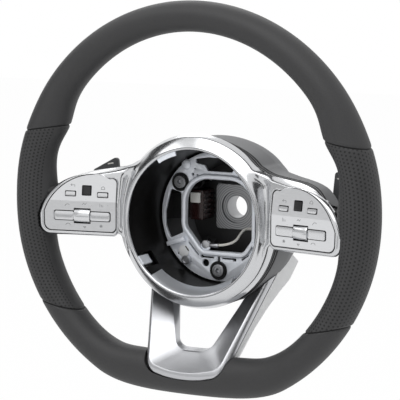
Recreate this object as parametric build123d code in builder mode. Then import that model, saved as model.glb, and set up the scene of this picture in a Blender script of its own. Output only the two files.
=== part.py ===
from build123d import *

import os
from math import cos, exp, pi, radians, sin, tan

# Flat-bottomed leather steering wheel with its hub open, ready for an airbag module.
# Millimetres. X is the driver's right, Z is up, and Y runs along the column, away from the driver.
# The origin is the rear mouth of the column bore. A height is a distance from there towards the driver.

# Fits
skin_gap = 0.3              # between nested or neighbouring pieces
seam_gap = 0.8              # between two leather panels
button_gap = 0.3            # round a key in its window
pin_gap = 0.05              # radial, of a hinge pin in its knuckle

# Rim
rim_radius = 185.0          # outer radius of the leather
rim_rise = 10.0             # centre of the rim's circle, above the column axis
rim_height = 106.0          # middle plane of the rim
flat_drop = 173.0           # flat bottom, below the centre of the rim's circle
flat_blend = 16.0           # length over which the circle melts into the flat
top_half_width = 14.0       # radial half thickness at the top
side_half_width = 15.6      # and at the sides
top_half_depth = 17.0       # half thickness along the column, at the top
side_half_depth = 19.5      # and at the sides
thumb_swell = 3.2           # thicker grip at the upper seams
spoke_swell = 4.0           # flare where the spokes enter
corner_swell = 4.8          # thicker grip at the lower corners
thumb_angle = 26.0          # upper seam, above the horizontal
corner_angle = -72.0        # lower corner
thumb_spread = 8.0          # degrees over which each swell fades
spoke_spread_angle = 11.0
corner_spread = 14.0
station_step = 9            # degrees between the sections of the rim
section_points = 8          # points of each section
leather_thickness = 1.4
core_radius = 6.0           # cast rim core inside the foam
upper_seam = (130.0, 77.0)  # inner end of the upper seam: across, above the column axis
upper_seam_fall = 0.128     # it falls outwards by this slope
lower_seam = (119.0, -93.0)
lower_seam_rise = 0.18      # and this one rises

# Column seat and armature
bore_radius = 10.4
bore_length = 20.0
boss_width = 42.0           # square machined block round the bore
boss_recess_radius = 15.2
boss_recess_depth = 2.0
floor_radius = 48.0
floor_height = 16.0
floor_thickness = 6.0
arm_thickness = 8.0
arm_width = 24.0
arm_bend = 12.0
lower_arm_width = 11.0
side_arm_run = [            # across, height and up of the bends of a side arm
    (30.0, 12.0, -1.0), (48.0, 12.0, -1.0), (62.0, 32.0, -1.0), (74.0, 57.0, -1.0),
    (106.0, 75.0, 3.0), (142.0, 95.5, 6.0), (166.0, 103.0, 8.0),
]
lower_arm_root = (28.0, 12.0, -32.0)
lower_arm_run = [           # across, along and below the lower spoke's face
    (47.3, 79.0, -17.0), (26.0, 26.0, -17.0), (22.0, 1.9, -15.3),
]
boss_round = 4.0
web_start = 41.0            # webs under the posts
web_half = 3.5
web_rise = 8.0

# Hub trim and liner
hub_drop = 5.0              # hub trim's centre, below the column axis
lip_radius = 66.0           # mouth of the hub
lip_height = 109.0
lip_width = 4.5
lip_edge = 1.2              # chamfer of the mouth
lip_thickness = 3.0
trim_radius = 80.0          # outer radius at the back of the trim
trim_back = 86.0
trim_wall = 2.5
trim_draft = 12.0           # degrees, slope of the trim's outer walls
flute_height = 98.0         # bottom of the flute between ring and wings
flute_radius = 79.5
wing_top = 48.0             # wing's upper edge at its root
wing_top_fall = 0.25
wing_bottom = -28.5
wing_root = 60.0
wing_reach = 151.0          # wings end here, under the inside of the rim
wing_run_in = 8.0           # the flute runs out into the wing over this width
wing_sink = 2.0             # wing's face, below the pod's face
wing_top_blend = 40.0
wing_bottom_blend = 14.0
skirt_angle = 304.0         # silver skirt below the lip, from here clockwise
skirt_arc = 68.0
skirt_depth = 12.0
tab_angle = 123.0           # tab on the mouth
tab_arc = 18.0
tab_reach = 4.0
tab_drop = 1.5
tongue_angle = 222.0        # deeper tongues beside the skirt
tongue_arc = 11.0
tongue_depth = 26.0
liner_bottom = 46.0
liner_bottom_radius = 61.5
liner_wall = 2.2
skirt_play = 0.8            # degrees free at each end of a skirt

# Switch pods
pod_across = 114.5          # pod's centre, across from the column axis
pod_up = 6.0
pod_height = 113.2          # its face
pod_tilt = 11.5             # degrees, faces inwards
pod_inner = 37.0            # half length towards the hub
pod_outer = 37.7            # and towards the rim
pod_half = 28.0             # half height
pod_depth = 15.0
pod_knee = (0.18, 0.93)     # shares of the half sizes, where the arc towards the rim starts
pod_shoulder = (0.61, 0.35)
pod_heel = 0.5
pod_foot = 0.96
pod_corner = 3.5
pod_heel_round = 8.0
pod_floor = 2.0
frame_width = 3.0
frame_lip = 0.8             # frame stands proud of the panel
panel_thickness = 5.0
panel_skin = 1.2            # left in front of the roller's pins
crease_up = 2.0             # crease of the face, above the pod's centre
crease_angle = 8.0          # the upper facet leans back
key_proud = 0.7
key_flange = 1.0
key_corner = 1.0
small_key = (9.5, 3.8)
inner_key_at = (-22.1, 8.3)
outer_key_at = (9.5, 8.6)
touch_pad_at = (-6.3, 11.9)
touch_pad_size = (8.0, 8.0)
bar_up = -11.8              # rocker bar's centre
bar_height = 8.0
bar_inner = -29.4
bar_outer = 24.9
bar_corner = 2.0
roller_across = -2.3
roller_width = 15.0
roller_radius = 7.5
roller_sink = 5.2           # roller's axis, below the face
roller_pin_radius = 1.5
roller_pin_length = 2.0
roller_ear = 6.0            # width of the ears that carry its pins

# Lower spoke
spoke_tilt = 32.0           # degrees, leans back towards the hub
spoke_foot_up = -139.0      # lower outer corners
spoke_foot_height = 120.0
spoke_foot_half = 37.0
spoke_foot_drop = 7.0       # middle of the foot, below its corners
spoke_length = 100.0
spoke_spread = 0.31         # outer edges spread upwards by this slope
mouth_foot = 28.0           # opening's lower edge, above the foot's corners
mouth_half = 13.7
mouth_spread = 0.48
mouth_fall = 6.0            # the faces slope this far into the opening
spoke_trim_depth = 8.0
spoke_back_depth = 30.0
spoke_wall = 2.2
spoke_border = 3.0          # flat polished edge round the sloping faces
spoke_step = 0.8            # the channel stands back from the trim's edge
spoke_foot_round = 14.0
mouth_foot_round = 9.0

# Rear cover
cover_wall = 2.5
cover_collar = 8.0          # plain band behind the trim
cover_groove = 0.8
cover_mouth = 36.0          # hole for the column
cover_rear = 2.0
cover_profile = [           # radius and height of the bowl and the wings' backs
    (48.0, 2.0), (63.0, 14.0), (75.0, 34.0), (85.0, 54.0), (106.0, 65.0), (160.0, 83.0),
]
cover_screw_radius = 2.0
cover_screw_head = 4.0
cover_screw_cap = 2.0
cover_screw_circle = 42.0

# Shift paddles
paddle_hinge_across = 98.0
paddle_hinge_height = 47.0
paddle_up = 4.0             # middle of the hinge
paddle_thickness = 3.5
paddle_inner = 114.0        # blade's inner edge
paddle_outer = 147.0
paddle_top = 44.0
paddle_bottom = -30.0
paddle_bevel = 7.0
paddle_round = 3.0
paddle_pin_radius = 2.0
knuckle_radius = 4.2
knuckle_length = 20.0
ear_thickness = 4.0
paddle_gap = 1.0            # free room round the knuckle

# Horn plate
plate_height = 54.0
plate_thickness = 2.5
plate_radius = 60.0
plate_bead = 5.0            # raised bead round the opening
plate_bead_height = 2.0
bolt_circle = 50.5
bolt_angle = 36.0           # upper bolts, above the horizontal
bolt_radius = 4.0
bolt_head_radius = 6.0
bolt_head = 2.5
bolt_flange = 1.2
bush_radius = 8.5
bush_height = 4.0
post_radius = 7.5
post_height = 37.0
plate_band = 4.0            # narrow band outside the windows
window_half_angle = 23.0    # side windows
top_window = [               # stepped window above the opening
    (-25.0, 49.0), (-25.0, 42.5), (-15.0, 42.5), (-13.0, 33.5), (13.0, 33.5), (15.0, 38.0), (15.0, 49.0),
]
mouth_top = 26.0            # plate's opening, from the column axis
mouth_low = -36.0
mouth_side = 33.0
mouth_corner = 11.0
mouth_top_half = 21.0
mouth_low_half = 16.0
mouth_round = 5.0
slot_width = 1.8            # slot outside the lower half of the bead
slot_end = 14.0             # it starts this far below the column axis
bridge_across = 9.0         # bridges over the slot
bridge_width = 4.0
flap_across = 45.0          # folded flaps below the side windows
flap_up = -29.0
flap_length = 15.0
flap_width = 4.0
flap_rise = 4.0
flap_angle = 24.0
catch_across = 33.0         # slots for the module's catches
catch_up = -43.0
catch_slot = 9.0
pilot_across = 14.0
pilot_up = -51.0
pilot_radius = 3.0
bush_neck = 6.2
socket_depth = 2.0          # hexagon in the bolt's head
socket_radius = 2.6
spring_radius = 6.0
spring_wire = 1.2
spring_turns = 4
horn_travel = 1.5

# Lead and connector inside the hub
terminal_across = -14.0
terminal_up = -32.0
terminal_tab = 4.6          # tongue of the plate under the terminal
lug_radius = 3.6
lug_length = 6.0
lug_thickness = 1.2
barrel_radius = 2.1
barrel_length = 9.0
lead_radius = 1.2
lead_bend = 8.0
lead_first = 24.0           # straight from the barrel
lead_bend_at = (18.5, -40.0, -16.0)
lead_drop = 14.0            # straight into its socket
socket_across = 29.0        # where the lead ends
socket_up = -17.5
socket_floor = 21.0
socket_width = 9.0
socket_corner = 1.5
socket_reach = 30.0
connector_across = -32.5
connector_up = 2.0
connector_width = 14.0
connector_length = 28.0
connector_height = 22.0
connector_corner = 2.0
connector_ribs = 5
rib_width = 2.0
rib_reach = 1.0
latch_height = 3.0

front = Plane.XZ
hub_axis = Axis((0, 0, -hub_drop), (0, 1, 0))
hub_section = Plane.XY.offset(-hub_drop)
bolt_turns = (bolt_angle, 180 - bolt_angle, 270)
bolt_places = [
    (bolt_circle * cos(radians(turn)), bolt_circle * sin(radians(turn)) - hub_drop) for turn in bolt_turns
]


def at(radius, height):
    """Point of a section through the hub's axis."""
    return (radius, -height)


def bell(angle, centre, spread):
    """Smooth bump: 1 at its centre, fading over the spread, in degrees."""
    return exp(-(((angle - centre) / spread) ** 2))


def fold(angle):
    """The right half's angle that mirrors an angle just past the top or the bottom."""
    if angle > 90:
        return 180 - angle
    if angle < -90:
        return -180 - angle
    return angle


def grip_half_width(angle):
    side = cos(radians(angle)) ** 2
    plain = top_half_width + (side_half_width - top_half_width) * side
    thumb = thumb_swell * bell(angle, thumb_angle, thumb_spread)
    spoke = spoke_swell * bell(angle, 0, spoke_spread_angle)
    twin = -180 - corner_angle
    corner = corner_swell * (bell(angle, corner_angle, corner_spread) + bell(angle, twin, corner_spread))
    return plain + thumb + spoke + corner


def grip_half_depth(angle):
    return top_half_depth + (side_half_depth - top_half_depth) * cos(radians(angle)) ** 2


def outer_reach(angle):
    """Distance from the rim circle's centre to the outside of the leather."""
    fall = -sin(radians(angle))
    if fall <= 0:
        return rim_radius
    flat = flat_drop / fall
    share = min(max(0.5 + 0.5 * (flat - rim_radius) / flat_blend, 0), 1)
    return flat + (rim_radius - flat) * share - flat_blend * share * (1 - share)


def rim_station(angle):
    """Plane across the rim at an angle, with its origin at the middle of the grip."""
    out = Vector(cos(radians(angle)), 0, sin(radians(angle)))
    along = Vector(-sin(radians(angle)), 0, cos(radians(angle)))
    reach = outer_reach(fold(angle)) - grip_half_width(fold(angle))
    return Plane(Vector(0, -rim_height, rim_rise) + out * reach, x_dir=out, z_dir=along)


def rim_ring(inset=0.0, core=None):
    """The whole rim, inset from the leather's surface, or a round core along its middle."""
    with BuildPart() as ring:
        past = 90 + station_step
        for run in (range(past, -1, -station_step), range(0, -past - 1, -station_step)):
            for angle in run:
                across = core or grip_half_width(fold(angle)) - inset
                deep = core or grip_half_depth(fold(angle)) - inset
                with BuildSketch(rim_station(angle)):
                    with BuildLine():
                        turns = [radians(360 / section_points * step) for step in range(section_points)]
                        Spline([(across * cos(turn), deep * sin(turn)) for turn in turns], periodic=True)
                    make_face()
            loft()
        split(bisect_by=Plane.YZ, keep=Keep.TOP)
        mirror(about=Plane.YZ)
    return ring.part


def keep(piece, name):
    """Label a piece and write it."""
    piece.label = name
    export_step(piece, f"parts/{name}.step")


def keep_pair(piece, name):
    """Write a right-hand piece and its mirror image."""
    keep(piece, f"right_{name}")
    with BuildPart() as twin:
        mirror(piece, about=Plane.YZ)
    keep(twin.part, f"left_{name}")


def wing_edge(across):
    return wing_top - wing_top_fall * (across - wing_root)


def trim_outline(inset=0.0):
    """Front view of the trim at its back: a ring with a wing on each side."""
    with BuildSketch(mode=Mode.PRIVATE) as outline:
        with Locations((0, -hub_drop)):
            Circle(trim_radius)
        with BuildLine():
            far = wing_reach
            Polyline(
                (-far, wing_bottom), (far, wing_bottom), (far, wing_edge(far)), (0, wing_edge(0)),
                (-far, wing_edge(far)), close=True,
            )
        make_face()
        on_ring = outline.vertices().filter_by(
            lambda v: abs(Vector(v.X, v.Y + hub_drop).length - trim_radius) < 1e-3
        )
        fillet(on_ring.group_by(Axis.Y)[-1], wing_top_blend)
        on_ring = outline.vertices().filter_by(
            lambda v: abs(Vector(v.X, v.Y + hub_drop).length - trim_radius) < 1e-3
        )
        fillet(on_ring.group_by(Axis.Y)[0], wing_bottom_blend)
        offset(amount=-inset)
    return outline.sketch


def hub_radial(angle):
    """Plane through the hub's axis at an angle, for sections of its ring."""
    out = Vector(cos(radians(angle)), 0, sin(radians(angle)))
    along = Vector(-sin(radians(angle)), 0, cos(radians(angle)))
    return Plane((0, 0, -hub_drop), x_dir=out, z_dir=along)


def pod_face(across):
    """Height of the pod's face at a distance across from the column axis."""
    return pod_height + (across - pod_across) * tan(radians(pod_tilt))


def trim_body(inset=0.0):
    """Outer form of the trim, or its hollow when inset by the wall."""
    wing_start = flute_radius + wing_run_in
    with BuildPart() as body:
        with BuildSketch(front.offset(trim_back - inset)):
            add(trim_outline(inset))
        extrude(amount=2 * (lip_height - trim_back), taper=trim_draft)
        with BuildSketch(hub_section):
            with BuildLine():
                mouth = lip_radius + inset
                crown = lip_height - inset
                shoulder = at(lip_radius + lip_width, crown)
                flute = at(flute_radius, flute_height - inset)
                wing = at(wing_start, pod_face(wing_start) - wing_sink - inset)
                far = at(rim_radius, pod_face(rim_radius) - wing_sink - inset)
                Polyline(
                    far, at(rim_radius, trim_back - inset), at(mouth, trim_back - inset),
                    at(mouth, crown - lip_edge), at(mouth + lip_edge, crown), shoulder,
                )
                Spline(shoulder, flute, wing)
                Line(wing, far)
            make_face()
        revolve(axis=hub_axis, mode=Mode.INTERSECT)
    return body.part


def mouth_tab(start, arc, inner, outer, low, high):
    """Block of the mouth's ring, from a start angle clockwise."""
    with BuildPart() as tab:
        with BuildSketch(hub_radial(start)):
            with BuildLine():
                Polyline(at(inner, low), at(outer, low), at(outer, high), at(inner, high), close=True)
            make_face()
        revolve(axis=hub_axis, revolution_arc=arc)
    return tab.part


pod_plane = Plane(
    (pod_across, -pod_height, pod_up),
    x_dir=(cos(radians(pod_tilt)), -sin(radians(pod_tilt)), 0),
    z_dir=(-sin(radians(pod_tilt)), -cos(radians(pod_tilt)), 0),
)


def pod_outline(inset=0.0):
    """The pod's front view: straight towards the hub and below, round towards the rim."""
    with BuildSketch(mode=Mode.PRIVATE) as outline:
        with BuildLine():
            knee = (-pod_knee[0] * pod_inner, pod_knee[1] * pod_half)
            shoulder = (pod_shoulder[0] * pod_outer, pod_shoulder[1] * pod_half)
            heel = (pod_outer, -pod_heel * pod_half)
            foot = (pod_foot * pod_outer, -pod_half)
            Polyline(heel, foot, (-pod_inner, -pod_half), (-pod_inner, pod_half), knee)
            ThreePointArc(knee, shoulder, heel)
        make_face()
        fillet(outline.vertices().group_by(Axis.X)[0], pod_corner)
        fillet(outline.vertices().group_by(Axis.Y)[0].sort_by(Axis.X)[-1], pod_heel_round)
        offset(amount=-inset)
    return outline.sketch


def pod_slab(inset, low, high):
    """The pod's outline as a slab between two depths of its face."""
    with BuildPart() as slab:
        with BuildSketch(pod_plane.offset(low)):
            add(pod_outline(inset))
        extrude(amount=high - low)
    return slab.part


def face_cut(lift):
    """Plane of the pod's upper facet, which leans back above the crease."""
    lean = radians(crease_angle)
    normal = pod_plane.z_dir * cos(lean) + pod_plane.y_dir * sin(lean)
    start = pod_plane.origin + pod_plane.y_dir * crease_up + pod_plane.z_dir * lift
    return Plane(start, x_dir=pod_plane.x_dir, z_dir=normal)


spoke_plane = Plane(
    (0, -spoke_foot_height, spoke_foot_up),
    x_dir=(1, 0, 0),
    z_dir=(0, -cos(radians(spoke_tilt)), sin(radians(spoke_tilt))),
)


def spoke_outline(inset=0.0):
    """The lower spoke's outer edge, on its own leaning plane."""
    with BuildSketch(mode=Mode.PRIVATE) as outline:
        with BuildLine():
            foot = ThreePointArc((-spoke_foot_half, 0), (0, -spoke_foot_drop), (spoke_foot_half, 0))
            head = spoke_foot_half + spoke_spread * spoke_length
            Polyline(foot @ 1, (head, spoke_length), (-head, spoke_length), foot @ 0)
        make_face()
        fillet(outline.vertices().sort_by(Axis.Y)[:2], spoke_foot_round)
        offset(amount=-inset)
    return outline.sketch


def mouth_outline(grow=0.0):
    """The lower spoke's opening, running out past its top."""
    with BuildSketch(mode=Mode.PRIVATE) as outline:
        with BuildLine():
            head = mouth_half + mouth_spread * (spoke_length - mouth_foot)
            Polyline(
                (-mouth_half, mouth_foot), (mouth_half, mouth_foot), (head, spoke_length),
                (-head, spoke_length), close=True,
            )
        make_face()
        fillet(outline.vertices().sort_by(Axis.Y)[:2], mouth_foot_round)
        offset(amount=grow)
    return outline.sketch


def arm(points, width, grow=0.0):
    """Bar of the armature along bent points, or the room that it needs."""
    with BuildPart() as bar:
        with BuildLine() as path:
            FilletPolyline(*points, radius=arm_bend)
        start = path.line @ 0
        along = path.line % 0
        with BuildSketch(Plane(start, x_dir=along.cross(Vector(0, 1, 0)), z_dir=along)):
            Rectangle(width + 2 * grow, arm_thickness + 2 * grow)
        sweep(path=path.line)
    return bar.part


side_arm_points = [Vector(across, -height, up) for across, height, up in side_arm_run]
lower_arm_points = [Vector(lower_arm_root[0], -lower_arm_root[1], lower_arm_root[2])]
lower_arm_points += [spoke_plane.from_local_coords(place) for place in lower_arm_run]


def arms(grow=0.0):
    """All four arms of the armature."""
    with BuildPart() as all_arms:
        add(arm(side_arm_points, arm_width, grow))
        add(arm(lower_arm_points, lower_arm_width, grow))
        mirror(about=Plane.YZ)
    return all_arms.part


def cover_body(inset=0.0):
    """Outer form of the rear cover, or its hollow when inset by the wall."""
    with BuildPart() as body:
        with BuildSketch(front.offset(cover_rear)):
            add(trim_outline(inset + skin_gap))
        extrude(amount=trim_back - skin_gap - cover_rear)
        with BuildSketch(hub_section):
            with BuildLine():
                rear = cover_rear + inset
                top = trim_back - skin_gap
                back = Spline([at(radius, height + inset) for radius, height in cover_profile])
                edge = cover_profile[-1][0]
                Polyline(
                    back @ 1, at(edge, 2 * top), at(cover_mouth, 2 * top), at(cover_mouth, rear), back @ 0
                )
            make_face()
        revolve(axis=hub_axis, mode=Mode.INTERSECT)
    return body.part


def bolt_circles(radius, mode=Mode.ADD):
    """A circle at each of the plate's three bolts, on the open sketch."""
    with Locations(*bolt_places):
        Circle(radius, mode=mode)


os.makedirs("parts", exist_ok=True)

# Rim: foam and leather, with room for what passes through or sits in them
rim_room = rim_ring(-skin_gap)
core_room = rim_ring(core=core_radius + skin_gap)
pod_room = pod_slab(-skin_gap, -pod_depth - skin_gap, pod_depth)
arm_room = arms(skin_gap)
with BuildPart() as spoke_room:
    with BuildSketch(spoke_plane.offset(-spoke_trim_depth - skin_gap)):
        add(spoke_outline(-skin_gap))
    extrude(amount=spoke_trim_depth + spoke_back_depth)

with BuildPart() as rim_foam:
    add(rim_ring(leather_thickness + skin_gap))
    add(core_room, mode=Mode.SUBTRACT)
    add(pod_room, mode=Mode.SUBTRACT)
    mirror(pod_room, about=Plane.YZ, mode=Mode.SUBTRACT)
    add(arm_room, mode=Mode.SUBTRACT)
    add(spoke_room.part, mode=Mode.SUBTRACT)
keep(rim_foam.part, "rim_foam")

with BuildPart() as leather:
    add(rim_ring())
    add(rim_ring(leather_thickness), mode=Mode.SUBTRACT)
    add(pod_room, mode=Mode.SUBTRACT)
    mirror(pod_room, about=Plane.YZ, mode=Mode.SUBTRACT)
    add(arm_room, mode=Mode.SUBTRACT)
    add(spoke_room.part, mode=Mode.SUBTRACT)


def seam_line(seam, slope, gap):
    """Three points of a seam and its mirror image, moved up by a gap."""
    middle = seam[1] - slope * seam[0] + gap
    end = middle + slope * 2 * rim_radius
    return [(-2 * rim_radius, end), (0, middle), (2 * rim_radius, end)]


def leather_panel(low, high):
    """The leather between two seams, each given as three points."""
    with BuildPart() as panel:
        add(leather.part)
        with BuildSketch(front):
            with BuildLine():
                Polyline(*low, *reversed(high), close=True)
            make_face()
        extrude(amount=2 * rim_height, mode=Mode.INTERSECT)
    return panel.part


far_up = [(-2 * rim_radius, 2 * rim_radius), (2 * rim_radius, 2 * rim_radius)]
far_down = [(x, -z) for x, z in far_up]
half_gap = seam_gap / 2
keep(leather_panel(seam_line(upper_seam, -upper_seam_fall, half_gap), far_up), "leather_top")
keep(leather_panel(far_down, seam_line(lower_seam, lower_seam_rise, -half_gap)), "leather_bottom")
with BuildPart() as right_grip:
    grip_low = seam_line(lower_seam, lower_seam_rise, half_gap)
    grip_high = seam_line(upper_seam, -upper_seam_fall, -half_gap)
    add(leather_panel(grip_low, grip_high))
    split(bisect_by=Plane.YZ, keep=Keep.TOP)
keep_pair(right_grip.part, "leather_grip")

# Armature: one casting of hub, arms and rim core
with BuildPart() as armature:
    add(rim_ring(core=core_radius))
    add(arms())
    with BuildSketch(front.offset(floor_height - floor_thickness)):
        with Locations((0, -hub_drop)):
            Circle(floor_radius)
    extrude(amount=floor_thickness)
    with BuildSketch(front):
        RectangleRounded(boss_width, boss_width, boss_round)
    extrude(amount=bore_length)
    for turn in bolt_turns:
        with BuildSketch(hub_radial(turn)):
            with BuildLine():
                web_end = bolt_circle + post_radius / 2
                floor_low = floor_height - floor_thickness
                Polyline(
                    at(web_start, floor_low), at(floor_radius, floor_low), at(web_end, floor_height),
                    at(web_end, post_height - web_rise), at(web_start, floor_height + web_rise), close=True,
                )
            make_face()
        extrude(amount=web_half, both=True)
    with BuildSketch(front.offset(floor_height)):
        bolt_circles(post_radius)
    extrude(amount=post_height - floor_height)
    with BuildSketch(front.offset(cover_rear + cover_wall)):
        with Locations((0, -hub_drop)):
            with PolarLocations(cover_screw_circle, 4, start_angle=45):
                Circle(cover_screw_head)
    extrude(amount=floor_height - floor_thickness - cover_rear - cover_wall)
    with BuildSketch(front):
        Circle(bore_radius)
        with Locations((0, -hub_drop)):
            with PolarLocations(cover_screw_circle, 4, start_angle=45):
                Circle(cover_screw_radius + pin_gap)
    extrude(amount=bore_length, mode=Mode.SUBTRACT)
    with BuildSketch(front.offset(bore_length - boss_recess_depth)):
        Circle(boss_recess_radius)
    extrude(amount=boss_recess_depth, mode=Mode.SUBTRACT)
    with BuildSketch(front.offset(floor_height)):
        bolt_circles(bolt_radius + pin_gap)
    extrude(amount=post_height, mode=Mode.SUBTRACT)
keep(armature.part, "armature")

# Hub trim: bezel ring and wings, a shell open at the back
skirts = [
    (skirt_angle, skirt_arc, skirt_depth), (tongue_angle, tongue_arc, tongue_depth),
    (540 + tongue_arc - tongue_angle, tongue_arc, tongue_depth),
]
with BuildPart() as hub_trim:
    add(trim_body())
    add(trim_body(trim_wall), mode=Mode.SUBTRACT)
    with BuildSketch(front.offset(trim_back - trim_wall)):
        with Locations((0, -hub_drop)):
            Circle(lip_radius + trim_wall + skin_gap)
    lip_low = lip_height - lip_thickness
    extrude(amount=lip_low - trim_back + trim_wall, mode=Mode.SUBTRACT)
    lip_outer = lip_radius + trim_wall
    add(mouth_tab(tab_angle, tab_arc, lip_radius - tab_reach, lip_outer, lip_low, lip_height - tab_drop))
    for start, arc, depth in skirts:
        add(mouth_tab(start, arc, lip_radius, lip_outer, lip_height - depth, lip_low + skin_gap))
    add(pod_room, mode=Mode.SUBTRACT)
    mirror(pod_room, about=Plane.YZ, mode=Mode.SUBTRACT)
    add(rim_room, mode=Mode.SUBTRACT)
keep(hub_trim.part, "hub_trim")

with BuildPart() as hub_liner:
    liner_top = lip_low - skin_gap
    with BuildSketch(hub_section):
        with BuildLine():
            Polyline(
                at(liner_bottom_radius, liner_bottom), at(lip_radius, liner_top),
                at(lip_radius + liner_wall, liner_top), at(liner_bottom_radius + liner_wall, liner_bottom),
                close=True,
            )
        make_face()
    revolve(axis=hub_axis)
    for start, arc, depth in skirts:
        low = lip_height - depth - skin_gap
        inner = lip_radius - 2 * liner_wall
        outer = lip_radius + 2 * liner_wall
        room = mouth_tab(start + skirt_play, arc + 2 * skirt_play, inner, outer, low, lip_height)
        add(room, mode=Mode.SUBTRACT)
keep(hub_liner.part, "hub_liner")

# Lower spoke: silver trim with faces that slope into the opening, and the channel behind it
with BuildPart() as hub_room:
    with BuildSketch(front):
        with Locations((0, -hub_drop)):
            Circle(trim_radius + skin_gap)
    extrude(amount=lip_height)

with BuildPart() as lower_spoke_trim:
    with BuildSketch(spoke_plane.offset(-spoke_trim_depth)):
        add(spoke_outline())
    extrude(amount=spoke_trim_depth)
    with BuildSketch(spoke_plane.offset(skin_gap)):
        add(spoke_outline(spoke_border))
    with BuildSketch(spoke_plane.offset(-mouth_fall)):
        add(mouth_outline())
    loft(ruled=True, mode=Mode.SUBTRACT)
    with BuildSketch(spoke_plane.offset(-spoke_trim_depth)):
        add(mouth_outline())
    extrude(amount=spoke_trim_depth, mode=Mode.SUBTRACT)
    add(hub_room.part, mode=Mode.SUBTRACT)
keep(lower_spoke_trim.part, "lower_spoke_trim")

with BuildPart() as lower_spoke_back:
    with BuildSketch(spoke_plane.offset(-spoke_back_depth)):
        add(spoke_outline(spoke_step))
        add(mouth_outline(), mode=Mode.SUBTRACT)
    extrude(amount=spoke_back_depth - spoke_trim_depth - skin_gap)
    with BuildSketch(spoke_plane.offset(spoke_wall - spoke_back_depth)):
        add(spoke_outline(spoke_step + spoke_wall))
        add(mouth_outline(spoke_wall), mode=Mode.SUBTRACT)
    extrude(amount=spoke_back_depth, mode=Mode.SUBTRACT)
    add(hub_room.part, mode=Mode.SUBTRACT)
    add(rim_room, mode=Mode.SUBTRACT)
    add(arm_room, mode=Mode.SUBTRACT)
keep(lower_spoke_back.part, "lower_spoke_back")

# Rear cover: a bowl with wings, open at the front, with a hole for the column
with BuildPart() as rear_cover:
    add(cover_body())
    add(cover_body(cover_wall), mode=Mode.SUBTRACT)
    with BuildSketch(front.offset(trim_back - cover_collar - cover_groove)):
        add(trim_outline(skin_gap))
        add(trim_outline(skin_gap + cover_groove), mode=Mode.SUBTRACT)
    extrude(amount=cover_groove, mode=Mode.SUBTRACT)
    add(arm_room, mode=Mode.SUBTRACT)
    add(rim_room, mode=Mode.SUBTRACT)
    with BuildSketch(front):
        with Locations((0, -hub_drop)):
            with PolarLocations(cover_screw_circle, 4, start_angle=45):
                Circle(cover_screw_radius + pin_gap)
    extrude(amount=floor_height, mode=Mode.SUBTRACT)
keep(rear_cover.part, "rear_cover")

with BuildPart() as cover_screws:
    with BuildSketch(front.offset(cover_rear - cover_screw_cap)):
        with Locations((0, -hub_drop)):
            with PolarLocations(cover_screw_circle, 4, start_angle=45):
                Circle(cover_screw_head)
    extrude(amount=cover_screw_cap)
    with BuildSketch(front.offset(cover_rear)):
        with Locations((0, -hub_drop)):
            with PolarLocations(cover_screw_circle, 4, start_angle=45):
                Circle(cover_screw_radius)
    extrude(amount=floor_height - cover_rear - skin_gap)
keep(cover_screws.part, "cover_screws")

# Switch pods
roller_left = roller_across - roller_width / 2
roller_right = roller_across + roller_width / 2
windows = {
    "inner_key": (inner_key_at, small_key, key_corner),
    "outer_key": (outer_key_at, small_key, key_corner),
    "touch_pad": (touch_pad_at, touch_pad_size, key_corner),
    "inner_rocker": (
        ((bar_inner + roller_left - skin_gap) / 2, bar_up),
        (roller_left - skin_gap - bar_inner, bar_height), bar_corner,
    ),
    "outer_rocker": (
        ((bar_outer + roller_right + skin_gap) / 2, bar_up),
        (bar_outer - roller_right - skin_gap, bar_height), bar_corner,
    ),
}
roller_at = (roller_across, bar_up)
roller_room = roller_width + 2 * (roller_pin_length + button_gap)
roller_axle = Plane(pod_plane.from_local_coords((*roller_at, -roller_sink)), z_dir=pod_plane.x_dir)
roller_chord = (roller_radius**2 - (roller_sink - panel_skin) ** 2) ** 0.5

with BuildPart() as pod_frame:
    add(pod_slab(0, -pod_depth, frame_lip))
    add(pod_slab(frame_width, pod_floor - pod_depth, 2 * pod_depth), mode=Mode.SUBTRACT)
    split(bisect_by=face_cut(frame_lip), keep=Keep.BOTTOM)
    with BuildSketch(pod_plane.offset(pod_floor - pod_depth)):
        with Locations(roller_at):
            Rectangle(roller_room, roller_ear)
            Rectangle(roller_width + 2 * button_gap, roller_ear, mode=Mode.SUBTRACT)
    extrude(amount=pod_depth - pod_floor - roller_sink + roller_ear / 2)
    with BuildSketch(roller_axle):
        Circle(roller_pin_radius + pin_gap)
    extrude(amount=roller_room, both=True, mode=Mode.SUBTRACT)
keep_pair(pod_frame.part, "pod_frame")

with BuildPart() as face_panel:
    add(pod_slab(frame_width + skin_gap, -panel_thickness, 0))
    split(bisect_by=face_cut(0), keep=Keep.BOTTOM)
    with BuildSketch(pod_plane.offset(-2 * pod_depth)):
        for place, size, corner in windows.values():
            with Locations(place):
                RectangleRounded(size[0] + 2 * button_gap, size[1] + 2 * button_gap, corner)
        with Locations(roller_at):
            Rectangle(roller_width + 2 * button_gap, 2 * (roller_chord + button_gap))
    extrude(amount=4 * pod_depth, mode=Mode.SUBTRACT)
    with BuildSketch(pod_plane.offset(-panel_thickness)):
        with Locations(roller_at):
            Rectangle(roller_room + 2 * button_gap, 2 * (roller_radius + button_gap))
    extrude(amount=panel_thickness - panel_skin, mode=Mode.SUBTRACT)
keep_pair(face_panel.part, "face_panel")

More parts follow.
